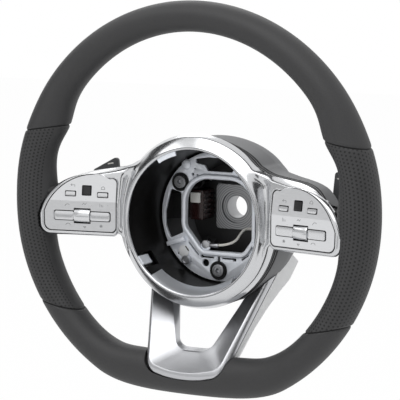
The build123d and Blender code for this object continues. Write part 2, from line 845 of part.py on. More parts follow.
for name, (place, size, corner) in windows.items():
    with BuildPart() as button:
        with BuildSketch(pod_plane.offset(-panel_thickness - button_gap)):
            with Locations(place):
                RectangleRounded(*size, corner)
        extrude(amount=panel_thickness + button_gap + key_proud)
        split(bisect_by=face_cut(key_proud), keep=Keep.BOTTOM)
        with BuildSketch(pod_plane.offset(-panel_thickness - button_gap - key_flange)):
            with Locations(place):
                RectangleRounded(size[0] + 2 * key_flange, size[1] + 2 * key_flange, corner)
        extrude(amount=key_flange)
        with BuildSketch(pod_plane.offset(-pod_depth)):
            with Locations(roller_at):
                Rectangle(roller_room + 2 * button_gap, 2 * bar_height)
        extrude(amount=pod_depth - panel_skin - button_gap, mode=Mode.SUBTRACT)
    keep_pair(button.part, name)

with BuildPart() as roller:
    with BuildSketch(roller_axle):
        Circle(roller_radius)
    extrude(amount=roller_width / 2, both=True)
    with BuildSketch(roller_axle):
        Circle(roller_pin_radius)
    extrude(amount=roller_width / 2 + roller_pin_length, both=True)
keep_pair(roller.part, "roller")

# Shift paddles on the back of the rear cover
ear_low = paddle_up - knuckle_length / 2 - skin_gap - ear_thickness
ear_length = knuckle_length + 2 * (skin_gap + ear_thickness)
with BuildPart() as paddle_bracket:
    with BuildSketch(Plane.XY.offset(ear_low)):
        with Locations(at(paddle_hinge_across, paddle_hinge_height)):
            Circle(knuckle_radius)
        with BuildLine():
            Polyline(
                at(paddle_hinge_across - knuckle_radius, paddle_hinge_height),
                at(paddle_hinge_across + knuckle_radius, paddle_hinge_height),
                at(paddle_hinge_across + knuckle_radius, trim_back - cover_collar),
                at(paddle_hinge_across - knuckle_radius, trim_back - cover_collar), close=True,
            )
        make_face()
    extrude(amount=ear_length)
    with BuildSketch(Plane.XY.offset(paddle_up - knuckle_length / 2 - skin_gap)):
        with Locations(at(paddle_hinge_across, paddle_hinge_height)):
            Rectangle(4 * knuckle_radius, 2 * (knuckle_radius + paddle_gap))
    extrude(amount=knuckle_length + 2 * skin_gap, mode=Mode.SUBTRACT)
    with BuildSketch(Plane.XY.offset(ear_low)):
        with Locations(at(paddle_hinge_across, paddle_hinge_height)):
            Circle(paddle_pin_radius + pin_gap)
    extrude(amount=ear_length, mode=Mode.SUBTRACT)
    add(cover_body(-skin_gap), mode=Mode.SUBTRACT)
keep_pair(paddle_bracket.part, "paddle_bracket")

with BuildPart() as paddle_pin:
    with BuildSketch(Plane.XY.offset(ear_low)):
        with Locations(at(paddle_hinge_across, paddle_hinge_height)):
            Circle(paddle_pin_radius)
    extrude(amount=ear_length)
keep_pair(paddle_pin.part, "paddle_pin")

with BuildPart() as paddle:
    with BuildSketch(Plane.XY.offset(paddle_up - knuckle_length / 2)):
        with Locations(at(paddle_hinge_across, paddle_hinge_height)):
            Circle(knuckle_radius)
    extrude(amount=knuckle_length)
    with BuildSketch(front.offset(paddle_hinge_height - knuckle_radius)) as blade:
        with BuildLine():
            root_low = paddle_up - knuckle_length / 2
            root_high = paddle_up + knuckle_length / 2
            Polyline(
                (paddle_hinge_across, root_low), (paddle_inner - paddle_round, root_low),
                (paddle_inner, paddle_bottom), (paddle_outer - paddle_bevel, paddle_bottom + paddle_bevel),
                (paddle_outer, paddle_up - paddle_bevel), (paddle_outer, paddle_up + paddle_bevel),
                (paddle_outer - paddle_bevel, paddle_top - 2 * paddle_bevel), (paddle_inner, paddle_top),
                (paddle_inner - paddle_round, root_high), (paddle_hinge_across, root_high), close=True,
            )
        make_face()
        fillet(blade.vertices().sort_by(Axis.X)[2:], paddle_round)
    extrude(amount=paddle_thickness)
    with BuildSketch(Plane.XY.offset(paddle_up - knuckle_length / 2)):
        with Locations(at(paddle_hinge_across, paddle_hinge_height)):
            Circle(paddle_pin_radius + pin_gap)
    extrude(amount=knuckle_length, mode=Mode.SUBTRACT)
keep_pair(paddle.part, "paddle")


# Horn plate and what hangs on it
def plate_mouth(grow=0.0):
    """Opening of the horn plate over the column seat, with its corners cut off."""
    with BuildSketch(mode=Mode.PRIVATE) as outline:
        with BuildLine():
            right = [
                (mouth_top_half, mouth_top), (mouth_side, mouth_top - mouth_corner),
                (mouth_side, mouth_low + 2 * mouth_corner), (mouth_low_half, mouth_low),
            ]
            left = [(-x, z) for x, z in reversed(right)]
            Polyline(*right, *left, close=True)
        make_face()
        fillet(outline.vertices(), mouth_round)
        offset(amount=grow)
    return outline.sketch


def plate_sector(middle):
    """Wedge of the plate's band between its opening and its outer edge, as a window."""
    with BuildSketch(mode=Mode.PRIVATE) as sector:
        with Locations((0, -hub_drop)):
            Circle(plate_radius - plate_band)
        with BuildLine():
            ends = [radians(middle - window_half_angle), radians(middle + window_half_angle)]
            far = [(2 * plate_radius * cos(end), 2 * plate_radius * sin(end) - hub_drop) for end in ends]
            Polyline((0, -hub_drop), *far, close=True)
        make_face(mode=Mode.INTERSECT)
        add(plate_mouth(plate_bead), mode=Mode.SUBTRACT)
    return sector.sketch


with BuildPart() as horn_plate:
    plate_low = plate_height - plate_thickness
    with BuildSketch(front.offset(plate_low)):
        with Locations((0, -hub_drop)):
            Circle(plate_radius)
        add(plate_mouth(), mode=Mode.SUBTRACT)
        with Locations((terminal_across, terminal_up)):
            Circle(terminal_tab)
        add(plate_sector(0), mode=Mode.SUBTRACT)
        add(plate_sector(180), mode=Mode.SUBTRACT)
        with BuildLine():
            Polyline(*top_window, close=True)
        make_face(mode=Mode.SUBTRACT)
        bolt_circles(bush_neck + pin_gap, Mode.SUBTRACT)
        with Locations((-pilot_across, pilot_up), (pilot_across, pilot_up)):
            Circle(pilot_radius, mode=Mode.SUBTRACT)
        with Locations((-catch_across, catch_up), (catch_across, catch_up)):
            SlotOverall(catch_slot, 2 * slot_width, rotation=90, mode=Mode.SUBTRACT)
    extrude(amount=plate_thickness)
    with BuildSketch(front.offset(plate_low)):
        add(plate_mouth(plate_bead + slot_width))
        add(plate_mouth(plate_bead), mode=Mode.SUBTRACT)
        with Locations((0, mouth_side)):
            Rectangle(2 * plate_radius, 2 * mouth_side + 2 * slot_end, mode=Mode.SUBTRACT)
        with Locations((-bridge_across, mouth_low), (bridge_across, mouth_low)):
            Rectangle(bridge_width, 4 * plate_bead, mode=Mode.SUBTRACT)
    extrude(amount=plate_thickness, mode=Mode.SUBTRACT)
    with BuildSketch(front.offset(plate_height)):
        add(plate_mouth(plate_bead))
        add(plate_mouth(), mode=Mode.SUBTRACT)
        bolt_circles(bush_radius + skin_gap, Mode.SUBTRACT)
    extrude(amount=plate_bead_height)
    with BuildSketch(front.offset(plate_height)):
        with Locations((-flap_across, flap_up)):
            Rectangle(flap_length, flap_width, rotation=flap_angle)
        with Locations((flap_across, flap_up)):
            Rectangle(flap_length, flap_width, rotation=-flap_angle)
    extrude(amount=flap_rise)
keep(horn_plate.part, "horn_plate")

with BuildPart() as horn_bushes:
    bush_top = plate_height + bush_height
    with BuildSketch(front.offset(plate_height)):
        bolt_circles(bush_radius)
    extrude(amount=bush_height)
    with BuildSketch(front.offset(plate_low)):
        bolt_circles(bush_neck)
    extrude(amount=plate_thickness)
    with BuildSketch(front.offset(plate_low)):
        bolt_circles(bolt_radius + skin_gap)
    extrude(amount=plate_height, mode=Mode.SUBTRACT)
keep(horn_bushes.part, "horn_bushes")

with BuildPart() as horn_bolts:
    head_low = bush_top + skin_gap / 2
    with BuildSketch(front.offset(floor_height)):
        bolt_circles(bolt_radius)
    extrude(amount=head_low - floor_height)
    with BuildSketch(front.offset(head_low)):
        bolt_circles(bolt_head_radius)
    extrude(amount=bolt_flange)
    with BuildSketch(front.offset(head_low + bolt_flange)):
        bolt_circles(bolt_head_radius - bolt_flange)
    extrude(amount=bolt_head)
    with BuildSketch(front.offset(head_low + bolt_flange + bolt_head - socket_depth)):
        with Locations(*bolt_places):
            RegularPolygon(socket_radius, 6)
    extrude(amount=socket_depth, mode=Mode.SUBTRACT)
keep(horn_bolts.part, "horn_bolts")

with BuildPart() as horn_springs:
    length = plate_low - post_height - spring_wire - skin_gap
    for across, up in bolt_places:
        seat = Vector(across, -post_height - (spring_wire + skin_gap) / 2, up)
        with BuildLine() as coil:
            Helix(length / spring_turns, length, spring_radius, center=seat, direction=(0, -1, 0))
        with BuildSketch(Plane(coil.line @ 0, z_dir=coil.line % 0)):
            Circle(spring_wire / 2)
        sweep(path=coil.line, is_frenet=True)
keep(horn_springs.part, "horn_springs")

# Lead from the plate to the hub, with its terminal, and the connector beside the bore
with BuildPart() as horn_terminal:
    with BuildSketch(front.offset(plate_height)):
        with Locations((terminal_across, terminal_up)):
            Circle(lug_radius)
        with Locations((terminal_across + lug_length / 2, terminal_up)):
            Rectangle(lug_length, lug_radius)
    extrude(amount=lug_thickness)
    barrel_start = (terminal_across + lug_length, -plate_height - barrel_radius, terminal_up)
    barrel = Plane(barrel_start, z_dir=(1, 0, 0))
    with BuildSketch(barrel):
        Circle(barrel_radius)
    extrude(amount=barrel_length)
    with BuildSketch(barrel):
        Circle(lead_radius + skin_gap)
    extrude(amount=barrel_length, mode=Mode.SUBTRACT)
keep(horn_terminal.part, "horn_terminal")

lead_end = Vector(socket_across, -socket_floor, socket_up)
with BuildPart() as horn_lead:
    with BuildLine() as lead_path:
        FilletPolyline(
            barrel.origin, barrel.origin + Vector(lead_first, 0, 0), Vector(*lead_bend_at),
            lead_end - Vector(0, lead_drop, 0), lead_end, radius=lead_bend,
        )
    with BuildSketch(Plane(lead_path.line @ 0, z_dir=lead_path.line % 0)):
        Circle(lead_radius)
    sweep(path=lead_path.line)
keep(horn_lead.part, "horn_lead")
tube = pi * lead_radius**2 * sum(edge.length for edge in lead_path.edges())
print(f"lead: radius {lead_bend} mm, volume {horn_lead.part.volume:.1f}, section by length {tube:.1f} mm3")

with BuildPart() as lead_socket:
    with BuildSketch(front.offset(floor_height)):
        with Locations((socket_across, socket_up)):
            RectangleRounded(socket_width, socket_width, socket_corner)
    extrude(amount=socket_reach - floor_height)
    with BuildSketch(front.offset(socket_floor - 2 * horn_travel)):
        with Locations((socket_across, socket_up)):
            Circle(lead_radius + 2 * skin_gap)
    extrude(amount=socket_reach, mode=Mode.SUBTRACT)
keep(lead_socket.part, "lead_socket")

with BuildPart() as hub_connector:
    with BuildSketch(front.offset(floor_height)):
        with Locations((connector_across, connector_up)):
            RectangleRounded(connector_width, connector_length, connector_corner)
    extrude(amount=connector_height)
    with BuildSketch(front.offset(floor_height)):
        with Locations((connector_across, connector_up)):
            with GridLocations(0, connector_length / (connector_ribs + 1), 1, connector_ribs):
                Rectangle(connector_width + 2 * rib_reach, rib_width)
    extrude(amount=connector_height - rib_reach)
keep(hub_connector.part, "hub_connector")

with BuildPart() as connector_latch:
    with BuildSketch(front.offset(floor_height + connector_height)):
        with Locations((connector_across, connector_up + connector_length / 4)):
            RectangleRounded(connector_width - 2 * connector_corner, connector_length / 3, key_corner)
    extrude(amount=latch_height)
keep(connector_latch.part, "connector_latch")
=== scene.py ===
# %% [markdown]
# # A leather steering wheel with its hub open
#
# This lesson dresses a flat-bottomed sports steering wheel: a leather rim in four panels, a silver hub trim
# with two wings, two switch pods and, in the open hub, the sprung plate that works the horn. The solids of
# the part are loaded as a fixed frame. Each step says what a piece is on the real wheel, how it could be
# made, and why it is made this way here. Lengths are in metres, X is the driver's right, Z is up, Y points
# away from the driver.

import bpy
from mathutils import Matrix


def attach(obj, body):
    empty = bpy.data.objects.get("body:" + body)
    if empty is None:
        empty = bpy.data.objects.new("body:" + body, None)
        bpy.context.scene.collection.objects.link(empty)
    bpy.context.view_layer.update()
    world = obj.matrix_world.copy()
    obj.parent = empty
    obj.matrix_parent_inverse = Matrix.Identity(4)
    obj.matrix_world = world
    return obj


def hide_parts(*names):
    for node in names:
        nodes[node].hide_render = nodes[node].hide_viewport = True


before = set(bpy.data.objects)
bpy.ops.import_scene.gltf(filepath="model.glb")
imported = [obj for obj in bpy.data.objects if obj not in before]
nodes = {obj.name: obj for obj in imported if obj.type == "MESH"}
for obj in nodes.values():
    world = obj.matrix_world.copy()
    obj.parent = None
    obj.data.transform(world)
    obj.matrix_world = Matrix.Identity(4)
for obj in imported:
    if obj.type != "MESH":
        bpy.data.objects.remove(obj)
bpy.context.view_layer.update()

from math import cos, exp, pi, radians, sin, sqrt, tan

import bpy
import bmesh
import numpy as np
from mathutils import Quaternion, Vector
from mathutils.kdtree import KDTree

scene = bpy.context.scene
print("pieces in the frame:", len(nodes))

# %% [markdown]
# ## Arithmetic for finishes
#
# A finish is a small graph of nodes. Wiring such a graph by hand hides the formula in it, so one class
# wraps an output socket and gives it Python's operators: `a * 2 + b` then adds the nodes by itself. A
# second class holds the material, and its single `node` method makes any other node from its type, settings
# and inputs.


# %% Fields and finishes
class Field:
    """A value that varies over a surface."""

    def __init__(self, finish, socket):
        self.finish = finish
        self.socket = socket

    def out(self, key):
        """Another output of the same node."""
        return Field(self.finish, self.socket.node.outputs[key])

    def maths(self, operation, first, second=0.0):
        """A new node that does one sum."""
        return self.finish.node("ShaderNodeMath", {"operation": operation}, {0: first, 1: second})

    def __add__(self, other):
        return self.maths("ADD", self, other)

    def __sub__(self, other):
        return self.maths("SUBTRACT", self, other)

    def __mul__(self, other):
        return self.maths("MULTIPLY", self, other)

    def __mod__(self, other):
        return self.maths("FLOORED_MODULO", self, other)

    def __lt__(self, other):
        return self.maths("LESS_THAN", self, other)

    def __gt__(self, other):
        return self.maths("GREATER_THAN", self, other)


class Finish:
    """A material with one shader, fed by numbers and by fields."""

    def __init__(self, name, **constants):
        self.material = bpy.data.materials.new(name)
        self.material.use_nodes = True
        self.tree = self.material.node_tree
        self.shader = self.tree.nodes["Principled BSDF"]
        self.place = self.node("ShaderNodeTexCoord").out("Object")
        self.feed({key.replace("_", " ").title(): value for key, value in constants.items()})

    def plug(self, made, values):
        """Set a node's inputs, by a link for a field and by a value for anything else."""
        for key, value in values.items():
            if isinstance(value, Field):
                self.tree.links.new(value.socket, made.inputs[key])
            else:
                made.inputs[key].default_value = value

    def node(self, kind, settings={}, values={}):
        """A new node and its first output."""
        made = self.tree.nodes.new(kind)
        for key, value in settings.items():
            setattr(made, key, value)
        self.plug(made, values)
        return Field(self, made.outputs[0])

    def feed(self, values):
        """Set the shader's inputs."""
        self.plug(self.shader, values)

    def noise(self, scale, stretch=(1, 1, 1), detail=3):
        """Noise over the piece, stretched where a direction's factor is small."""
        where = self.node("ShaderNodeVectorMath", {"operation": "MULTIPLY"}, {0: self.place, 1: stretch})
        return self.node("ShaderNodeTexNoise", {}, {"Vector": where, "Scale": scale, "Detail": detail})

    def mix(self, share, low, high):
        """A blend of two colours."""
        return self.node("ShaderNodeMix", {"data_type": "RGBA"}, {0: share, 6: low, 7: high}).out(2)

    def bump(self, height, distance):
        """Relief of a given height on the surface."""
        self.feed({"Normal": self.node("ShaderNodeBump", {}, {"Height": height, "Distance": distance})})


def paint(red, green, blue):
    """A colour as seen on a screen, 0 to 255, as the linear colour of a shader."""
    linear = [(c / 255 / 12.92) if c < 11 else ((c / 255 + 0.055) / 1.055) ** 2.4 for c in (red, green, blue)]
    return (*linear, 1)


def shade(colour, factor):
    """A colour made darker or lighter."""
    return (*[channel * factor for channel in colour[:3]], 1)


# %% [markdown]
# ## The camera
#
# The photograph was taken with a long lens from the driver's right and a little above the hub. A long lens
# keeps the wheel's ellipse nearly the same at the top and the bottom, so the camera stands two metres away.

# %% Camera
turn_right = radians(28.581)
look_down = radians(6.951)
camera_roll = radians(0.420)
camera_distance = 1.9496
camera_target = Vector((0.00806, -0.106, 0.01613))
lens_per_width = 2166.4 / 400

view = Vector((sin(turn_right) * cos(look_down), -cos(turn_right) * cos(look_down), sin(look_down)))
camera = bpy.data.objects.new("camera", bpy.data.cameras.new("camera"))
scene.collection.objects.link(camera)
camera.data.sensor_width = 36
camera.data.lens = 36 * lens_per_width
camera.location = camera_target + view * camera_distance
camera.rotation_mode = "QUATERNION"
camera.rotation_quaternion = (-view).to_track_quat("-Z", "Y") @ Quaternion((0, 0, 1), camera_roll)
scene.camera = camera
scene.view_settings.view_transform = "Standard"
print("lens:", round(camera.data.lens, 1), "mm")

# %% [markdown]
# ## Light
#
# Bright trim shows what stands round it more than its own colour. The studio is therefore a white room with
# a broad lamp above, one behind and a lower one on the left. Black and grey flags stand outside the
# picture: only reflections see them, and each draws one dark or grey streak along the plated metal, as in a
# product photograph.


# %% Lamps
def lamp(name, place, aim, size, power):
    """A rectangular soft box that looks at a point."""
    light = bpy.data.lights.new(name, "AREA")
    light.shape = "RECTANGLE"
    light.size = size[0]
    light.size_y = size[1]
    light.energy = power
    holder = bpy.data.objects.new(name, light)
    holder.location = place
    holder.rotation_euler = (Vector(aim) - Vector(place)).to_track_quat("-Z", "Y").to_euler()
    scene.collection.objects.link(holder)


hub_middle = (0.0, -0.1, 0.0)
lamp("lamp_above", (0.1, -1.4, 1.9), hub_middle, (2.2, 1.4), 17)
lamp("lamp_behind", (-0.8, 1.3, 1.4), hub_middle, (1.2, 0.9), 6)
lamp("lamp_left", (-2.2, -0.9, 1.3), hub_middle, (1.4, 1.6), 9)
print("lamps:", len(bpy.data.lights))

# %% [markdown]
# The room lights the wheel at a plain level, but the camera and the reflections see it as pure white. A mix
# of two backgrounds does both, because the kind of ray chooses between them.

# %% White room
world = bpy.data.worlds.new("studio")
scene.world = world
world.use_nodes = True
studio = world.node_tree
room = studio.nodes["Background"]
backdrop = studio.nodes.new("ShaderNodeBackground")
for background in (room, backdrop):
    background.inputs["Color"].default_value = (1, 1, 1, 1)
room.inputs["Strength"].default_value = 0.70
light_path = studio.nodes.new("ShaderNodeLightPath")
seen = light_path.outputs["Is Camera Ray"]
for kind in ("Is Glossy Ray", "Is Transmission Ray"):
    either = studio.nodes.new("ShaderNodeMath")
    either.operation = "MAXIMUM"
    studio.links.new(seen, either.inputs[0])
    studio.links.new(light_path.outputs[kind], either.inputs[1])
    seen = either.outputs[0]
choice = studio.nodes.new("ShaderNodeMixShader")
studio.links.new(seen, choice.inputs[0])
studio.links.new(room.outputs[0], choice.inputs[1])
studio.links.new(backdrop.outputs[0], choice.inputs[2])
studio.links.new(choice.outputs[0], studio.nodes["World Output"].inputs[0])
print("room strength:", round(room.inputs["Strength"].default_value, 2))

# %% [markdown]
# The floor is a large pale card that keeps a faint shadow, and the flags are small upright cards. Every
# mesh of this lesson, from these cards to the hub trim, is made by one function from points and faces.


# %% Floor and flags
def mesh_object(name, points, faces, finish):
    """An object from points and faces, with all faces turned outwards."""
    mesh = bpy.data.meshes.new(name)
    mesh.from_pydata([tuple(point) for point in points], [], [tuple(face) for face in faces])
    mesh.materials.append(finish.material)
    facing = bmesh.new()
    facing.from_mesh(mesh)
    bmesh.ops.recalc_face_normals(facing, faces=facing.faces)
    facing.to_mesh(mesh)
    facing.free()
    made = bpy.data.objects.new(name, mesh)
    scene.collection.objects.link(made)
    return made


def card(name, place, aim, width, height, finish):
    """A flat upright or lying card of the studio."""
    turn = (Vector(aim) - Vector(place)).to_track_quat("Z", "Y").to_matrix()
    corners = [(-width, -height, 0), (width, -height, 0), (width, height, 0), (-width, height, 0)]
    points = [Vector(place) + turn @ (Vector(corner) / 2) for corner in corners]
    made = mesh_object(name, points, [(0, 1, 2, 3)], finish)
    return made


floor_paint = Finish("floor", roughness=0.9)
floor_tone = floor_paint.mix(floor_paint.noise(3), paint(240, 240, 240), paint(245, 245, 245))
floor_paint.feed({"Base Color": floor_tone})
path = floor_paint.node("ShaderNodeLightPath")
shown = path.out("Is Camera Ray") + path.out("Is Glossy Ray") + path.out("Is Transmission Ray")
glow = floor_paint.node("ShaderNodeEmission", {}, {"Color": (1, 1, 1, 1), "Strength": 1.0})
lit = Field(floor_paint, floor_paint.shader.outputs[0])
glow_share = 0.97
white = floor_paint.node("ShaderNodeMixShader", {}, {0: (shown > 0.5) * glow_share, 1: lit, 2: glow})
floor_paint.tree.links.new(white.socket, floor_paint.tree.nodes["Material Output"].inputs["Surface"])
floor_level, floor_size = -0.36, 12
card("floor", (0, 0, floor_level), (0, 0, 1), floor_size, floor_size, floor_paint)

flag_cloth = Finish("flag_cloth", roughness=1.0)
flag_cloth.feed({"Base Color": flag_cloth.mix(flag_cloth.noise(40), paint(20, 20, 20), paint(30, 30, 30))})
grey_cloth = Finish("grey_cloth", roughness=1.0, base_color=(0.02, 0.02, 0.02, 1), emission_strength=1)
cloth_tone = grey_cloth.mix(grey_cloth.noise(40), paint(192, 192, 192), paint(200, 200, 200))
grey_cloth.feed({"Emission Color": cloth_tone})
flags = {
    "flag_behind": ((1.25, -2.4, 0.3), 0.8, 1.6, flag_cloth),
    "flag_left": ((-1.6, -0.15, 0.25), 0.8, 1.4, flag_cloth),
    "flag_right": ((1.5, -0.85, 0.1), 0.45, 1.2, flag_cloth),
    "flag_low": ((-0.22, -1.15, -0.19), 0.8, 0.30, grey_cloth),
    "flag_high": ((-1.2, -1.15, 0.56), 1.5, 1.0, grey_cloth),
}
for name, (place, width, height, cloth) in flags.items():
    flag = card(name, place, hub_middle, width, height, cloth)
    flag.visible_camera = False
    flag.visible_diffuse = False
    flag.visible_shadow = False
print("flags:", len(flags))

# %% [markdown]
# ## Leather
#
# The rim is covered in smooth full-grain leather above and below, and in perforated leather where the hands
# lie. The grain is a net of small cells: Voronoi distances give the pebbles and a slow noise makes some
# areas a little lighter, as skin is never even. The punched holes follow the rim, so their rows are counted
# along two angles: one round the wheel and one round the grip. They start at a high count, so that none is
# negative. A hole is where the squared distance from the middle of its cell, in pitches, is small enough.

# %% Leather finishes
rim_rise = 0.010
rim_radius = 0.185
rim_depth = 0.106
hole_pitch = 0.0034
hole_square = 0.07
grip_middle = 0.167
grip_half = 0.018
punched_turns = (-2.4, 0.6)
first_count = 100


def leather(name, punched):
    """Grained leather, smooth or with holes on the side of the grip that the driver sees."""
    skin = Finish(name, roughness=0.55)
    patch = skin.noise(45)
    grain = skin.node("ShaderNodeTexVoronoi", {"feature": "SMOOTH_F1"}, {"Vector": skin.place, "Scale": 900})
    colour = skin.mix(patch, paint(46, 46, 47), paint(57, 57, 58))
    colour = skin.mix(grain * 0.5, colour, paint(38, 38, 39))
    height = grain * -0.4 + patch * 0.2
    if punched:
        spot = skin.node("ShaderNodeSeparateXYZ", {}, {0: skin.place})
        across = spot.maths("ABSOLUTE", spot.out("X"))
        up = spot.out("Z") - rim_rise
        round_wheel = spot.maths("ARCTAN2", up, across)
        reach = spot.maths("SQRT", across * across + up * up) - grip_middle
        round_grip = spot.maths("ARCTAN2", spot.out("Y") + rim_depth, reach)
        row = round_grip * (grip_half / hole_pitch) + first_count
        stagger = spot.maths("FLOOR", row) % 2 * 0.5
        column = round_wheel * (grip_middle / hole_pitch) + stagger + first_count
        aside = column % 1 - 0.5
        over = row % 1 - 0.5
        front = (round_grip < punched_turns[1]) * (round_grip > punched_turns[0])
        hole = (aside * aside + over * over < hole_square) * front
        # Holes are painted near black: painted shade inside each hole. The bump sinks them a little too.
        colour = skin.mix(hole, colour, paint(9, 9, 10))
        height = height - hole
    skin.feed({"Base Color": colour, "Roughness": patch * 0.12 + 0.5})
    skin.bump(height, 0.0002)
    return skin


smooth_leather = leather("smooth_leather", False)
punched_leather = leather("punched_leather", True)
print("leather finishes:", smooth_leather.material.name, punched_leather.material.name)

# %% [markdown]
# ## Metals
#
# The trim is plated plastic: it reflects like metal, but fine orange peel in the plating softens the
# picture. The pod faces are brushed, so noise stretched along one direction changes the roughness from line
# to line.


# %% Metal finishes
def metal(name, colour, roughness, peel, stretch=(1, 1, 1), change=0.06, relief=0.00002, share=1.0):
    """A plated or bare metal; the share says how far it reflects as metal does."""
    plate = Finish(name, metallic=share)
    texture = plate.noise(peel, stretch)
    tone = plate.mix(texture, shade(colour, 1 - change), shade(colour, 1 + change))
    plate.feed({"Base Color": tone, "Roughness": texture * roughness * 0.4 + roughness * 0.8})
    plate.bump(texture, relief)
    return plate


silver = metal("silver", paint(206, 207, 209), 0.18, 60, change=0.02)
polished = metal("polished", paint(208, 209, 211), 0.2, 60, change=0.02)
brushed = metal("brushed", paint(222, 223, 225), 0.3, 900, (0.02, 1, 1), change=0.05)
key_silver = metal("key_silver", paint(212, 213, 215), 0.2, 200, change=0.03)
zinc = metal("zinc", paint(238, 242, 249), 0.42, 260, change=0.06, share=0.35)
steel = metal("steel", paint(180, 181, 184), 0.3, 400, change=0.08)
metals = (silver, polished, brushed, key_silver, zinc, steel)
print("metals:", *[finish.material.name for finish in metals])

# %% [markdown]
# ## The casting
#
# The armature is cast and coated black, and only its square boss is machined bright for the column. One
# finish does both: the boss is where a point is less than half the boss's width from the bore's axis, both
# across and up, and there the turning marks are rings round the bore.

# %% Casting finish
boss_half = 0.0212
rings_per_metre = 3200
casting = Finish("casting")
spot = casting.node("ShaderNodeSeparateXYZ", {}, {0: casting.place})
across, up = spot.out("X"), spot.out("Z")
boss = (spot.maths("ABSOLUTE", across) < boss_half) * (spot.maths("ABSOLUTE", up) < boss_half)
from_bore = spot.maths("SQRT", across * across + up * up)
rings = spot.maths("SINE", from_bore * rings_per_metre) * 0.5 + 0.5
cast_skin = casting.noise(500)
coat = casting.mix(cast_skin, paint(22, 22, 23), paint(40, 40, 41))
turned = casting.mix(rings, paint(128, 129, 131), paint(182, 183, 185))
casting.feed({"Base Color": casting.mix(boss, coat, turned)})
casting.feed({"Roughness": cast_skin * 0.2 + 0.35, "Metallic": boss * 0.6})
casting.bump(cast_skin + rings * boss * 0.3, 0.0001)
print("casting finish:", len(casting.tree.nodes), "nodes")

# %% [markdown]
# ## Plastics and rubber
#
# Moulded covers have a spark-eroded grain: a fine noise in the relief and in the gloss keeps them from
# looking like flat paint. The connector housing is glossier and dark red-brown.


# %% Plastic finishes
def plastic(name, colour, roughness, grain=700, relief=0.00006, change=0.12, gloss=0.5):
    """A moulded plastic or rubber with a fine grain and slow, faint patches."""
    moulded = Finish(name)
    moulded.feed({"Specular IOR Level": gloss})
    texture = moulded.noise(grain)
    slow = moulded.noise(25)
    tone = moulded.mix(texture * 0.6 + slow * 0.4, shade(colour, 1 - change), shade(colour, 1 + change))
    moulded.feed({"Base Color": tone, "Roughness": texture * 0.1 + roughness})
    moulded.bump(texture, relief)
    return moulded


black_plastic = plastic("black_plastic", paint(14, 14, 15), 0.3, gloss=0.3)
liner_plastic = plastic("liner_plastic", paint(12, 11, 10), 0.25, gloss=0.12)
grey_plastic = plastic("grey_plastic", paint(104, 105, 107), 0.5)
print_grey = plastic("print_grey", paint(132, 133, 135), 0.5)
paddle_plastic = plastic("paddle_plastic", paint(74, 75, 77), 0.45)
light_plastic = plastic("light_plastic", paint(232, 233, 234), 0.35, change=0.03)
white_plastic = plastic("white_plastic", paint(232, 231, 226), 0.4, change=0.04)
key_black = plastic("key_black", paint(24, 24, 26), 0.15, relief=0.00001)
rubber = plastic("rubber", paint(18, 18, 18), 0.6, gloss=0.3)
connector = plastic("connector", paint(44, 22, 21), 0.2, grain=300)
insulation = plastic("insulation", paint(234, 232, 226), 0.45, change=0.05)
foam = plastic("foam", paint(70, 70, 70), 0.9)
print("finishes so far:", len(bpy.data.materials))

# %% [markdown]
# ## Dressing the solids
#
# Moulded and cast edges are never knife sharp: a small rounding catches a line of light. A stack of
# modifiers welds each solid's facets, bevels the sharp edges where asked and shades the rest smoothly. The
# smoothing is a small node group, because it has to keep every edge sharper than a given angle. One more
# modifier draws the foam in a little, so that it stays under the leather everywhere.

# %% Smoothing
sharp_angle = radians(32)
bevel_angle = radians(35)
weld_reach = 0.00001
smooth_group = bpy.data.node_groups.new("smooth_below_angle", "GeometryNodeTree")
smooth_group.interface.new_socket("Geometry", in_out="INPUT", socket_type="NodeSocketGeometry")
smooth_group.interface.new_socket("Geometry", in_out="OUTPUT", socket_type="NodeSocketGeometry")
entry = smooth_group.nodes.new("NodeGroupInput")
leave = smooth_group.nodes.new("NodeGroupOutput")
whole = smooth_group.nodes.new("GeometryNodeSetShadeSmooth")
edges = smooth_group.nodes.new("GeometryNodeSetShadeSmooth")
edges.domain = "EDGE"
angle = smooth_group.nodes.new("GeometryNodeInputMeshEdgeAngle")
below = smooth_group.nodes.new("FunctionNodeCompare")
below.operation = "LESS_THAN"
below.inputs[1].default_value = sharp_angle
smooth_group.links.new(entry.outputs[0], whole.inputs[0])
smooth_group.links.new(whole.outputs[0], edges.inputs[0])
smooth_group.links.new(angle.outputs[0], below.inputs[0])
smooth_group.links.new(below.outputs[0], edges.inputs["Shade Smooth"])
smooth_group.links.new(edges.outputs[0], leave.inputs[0])


def soften(made, rounding):
    """Weld, round and smooth a piece by modifiers."""
    weld = made.modifiers.new("weld", "WELD")
    weld.merge_threshold = weld_reach
    if rounding:
        bevel = made.modifiers.new("bevel", "BEVEL")
        bevel.width = rounding
        bevel.segments = 2
        bevel.limit_method = "ANGLE"
        bevel.angle_limit = bevel_angle
    smooth = made.modifiers.new("smooth", "NODES")
    smooth.node_group = smooth_group


def settle(made, body, stands_for=None, rounding=0):
    """Soften a new piece, let it ride on a body, and hide the node of the frame that it stands for."""
    soften(made, rounding)
    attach(made, body)
    if stands_for:
        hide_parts(stands_for)


# %% Dress
def dress(finish, rounding, *names):
    """Give solids of the frame a finish and soften them."""
    for name in names:
        piece = nodes[name]
        piece.data.materials.clear()
        piece.data.materials.append(finish.material)
        soften(piece, rounding)


def both(*names):
    """The names of pieces that are on the left and on the right."""
    return [side + name for side in ("left_", "right_") for name in names]


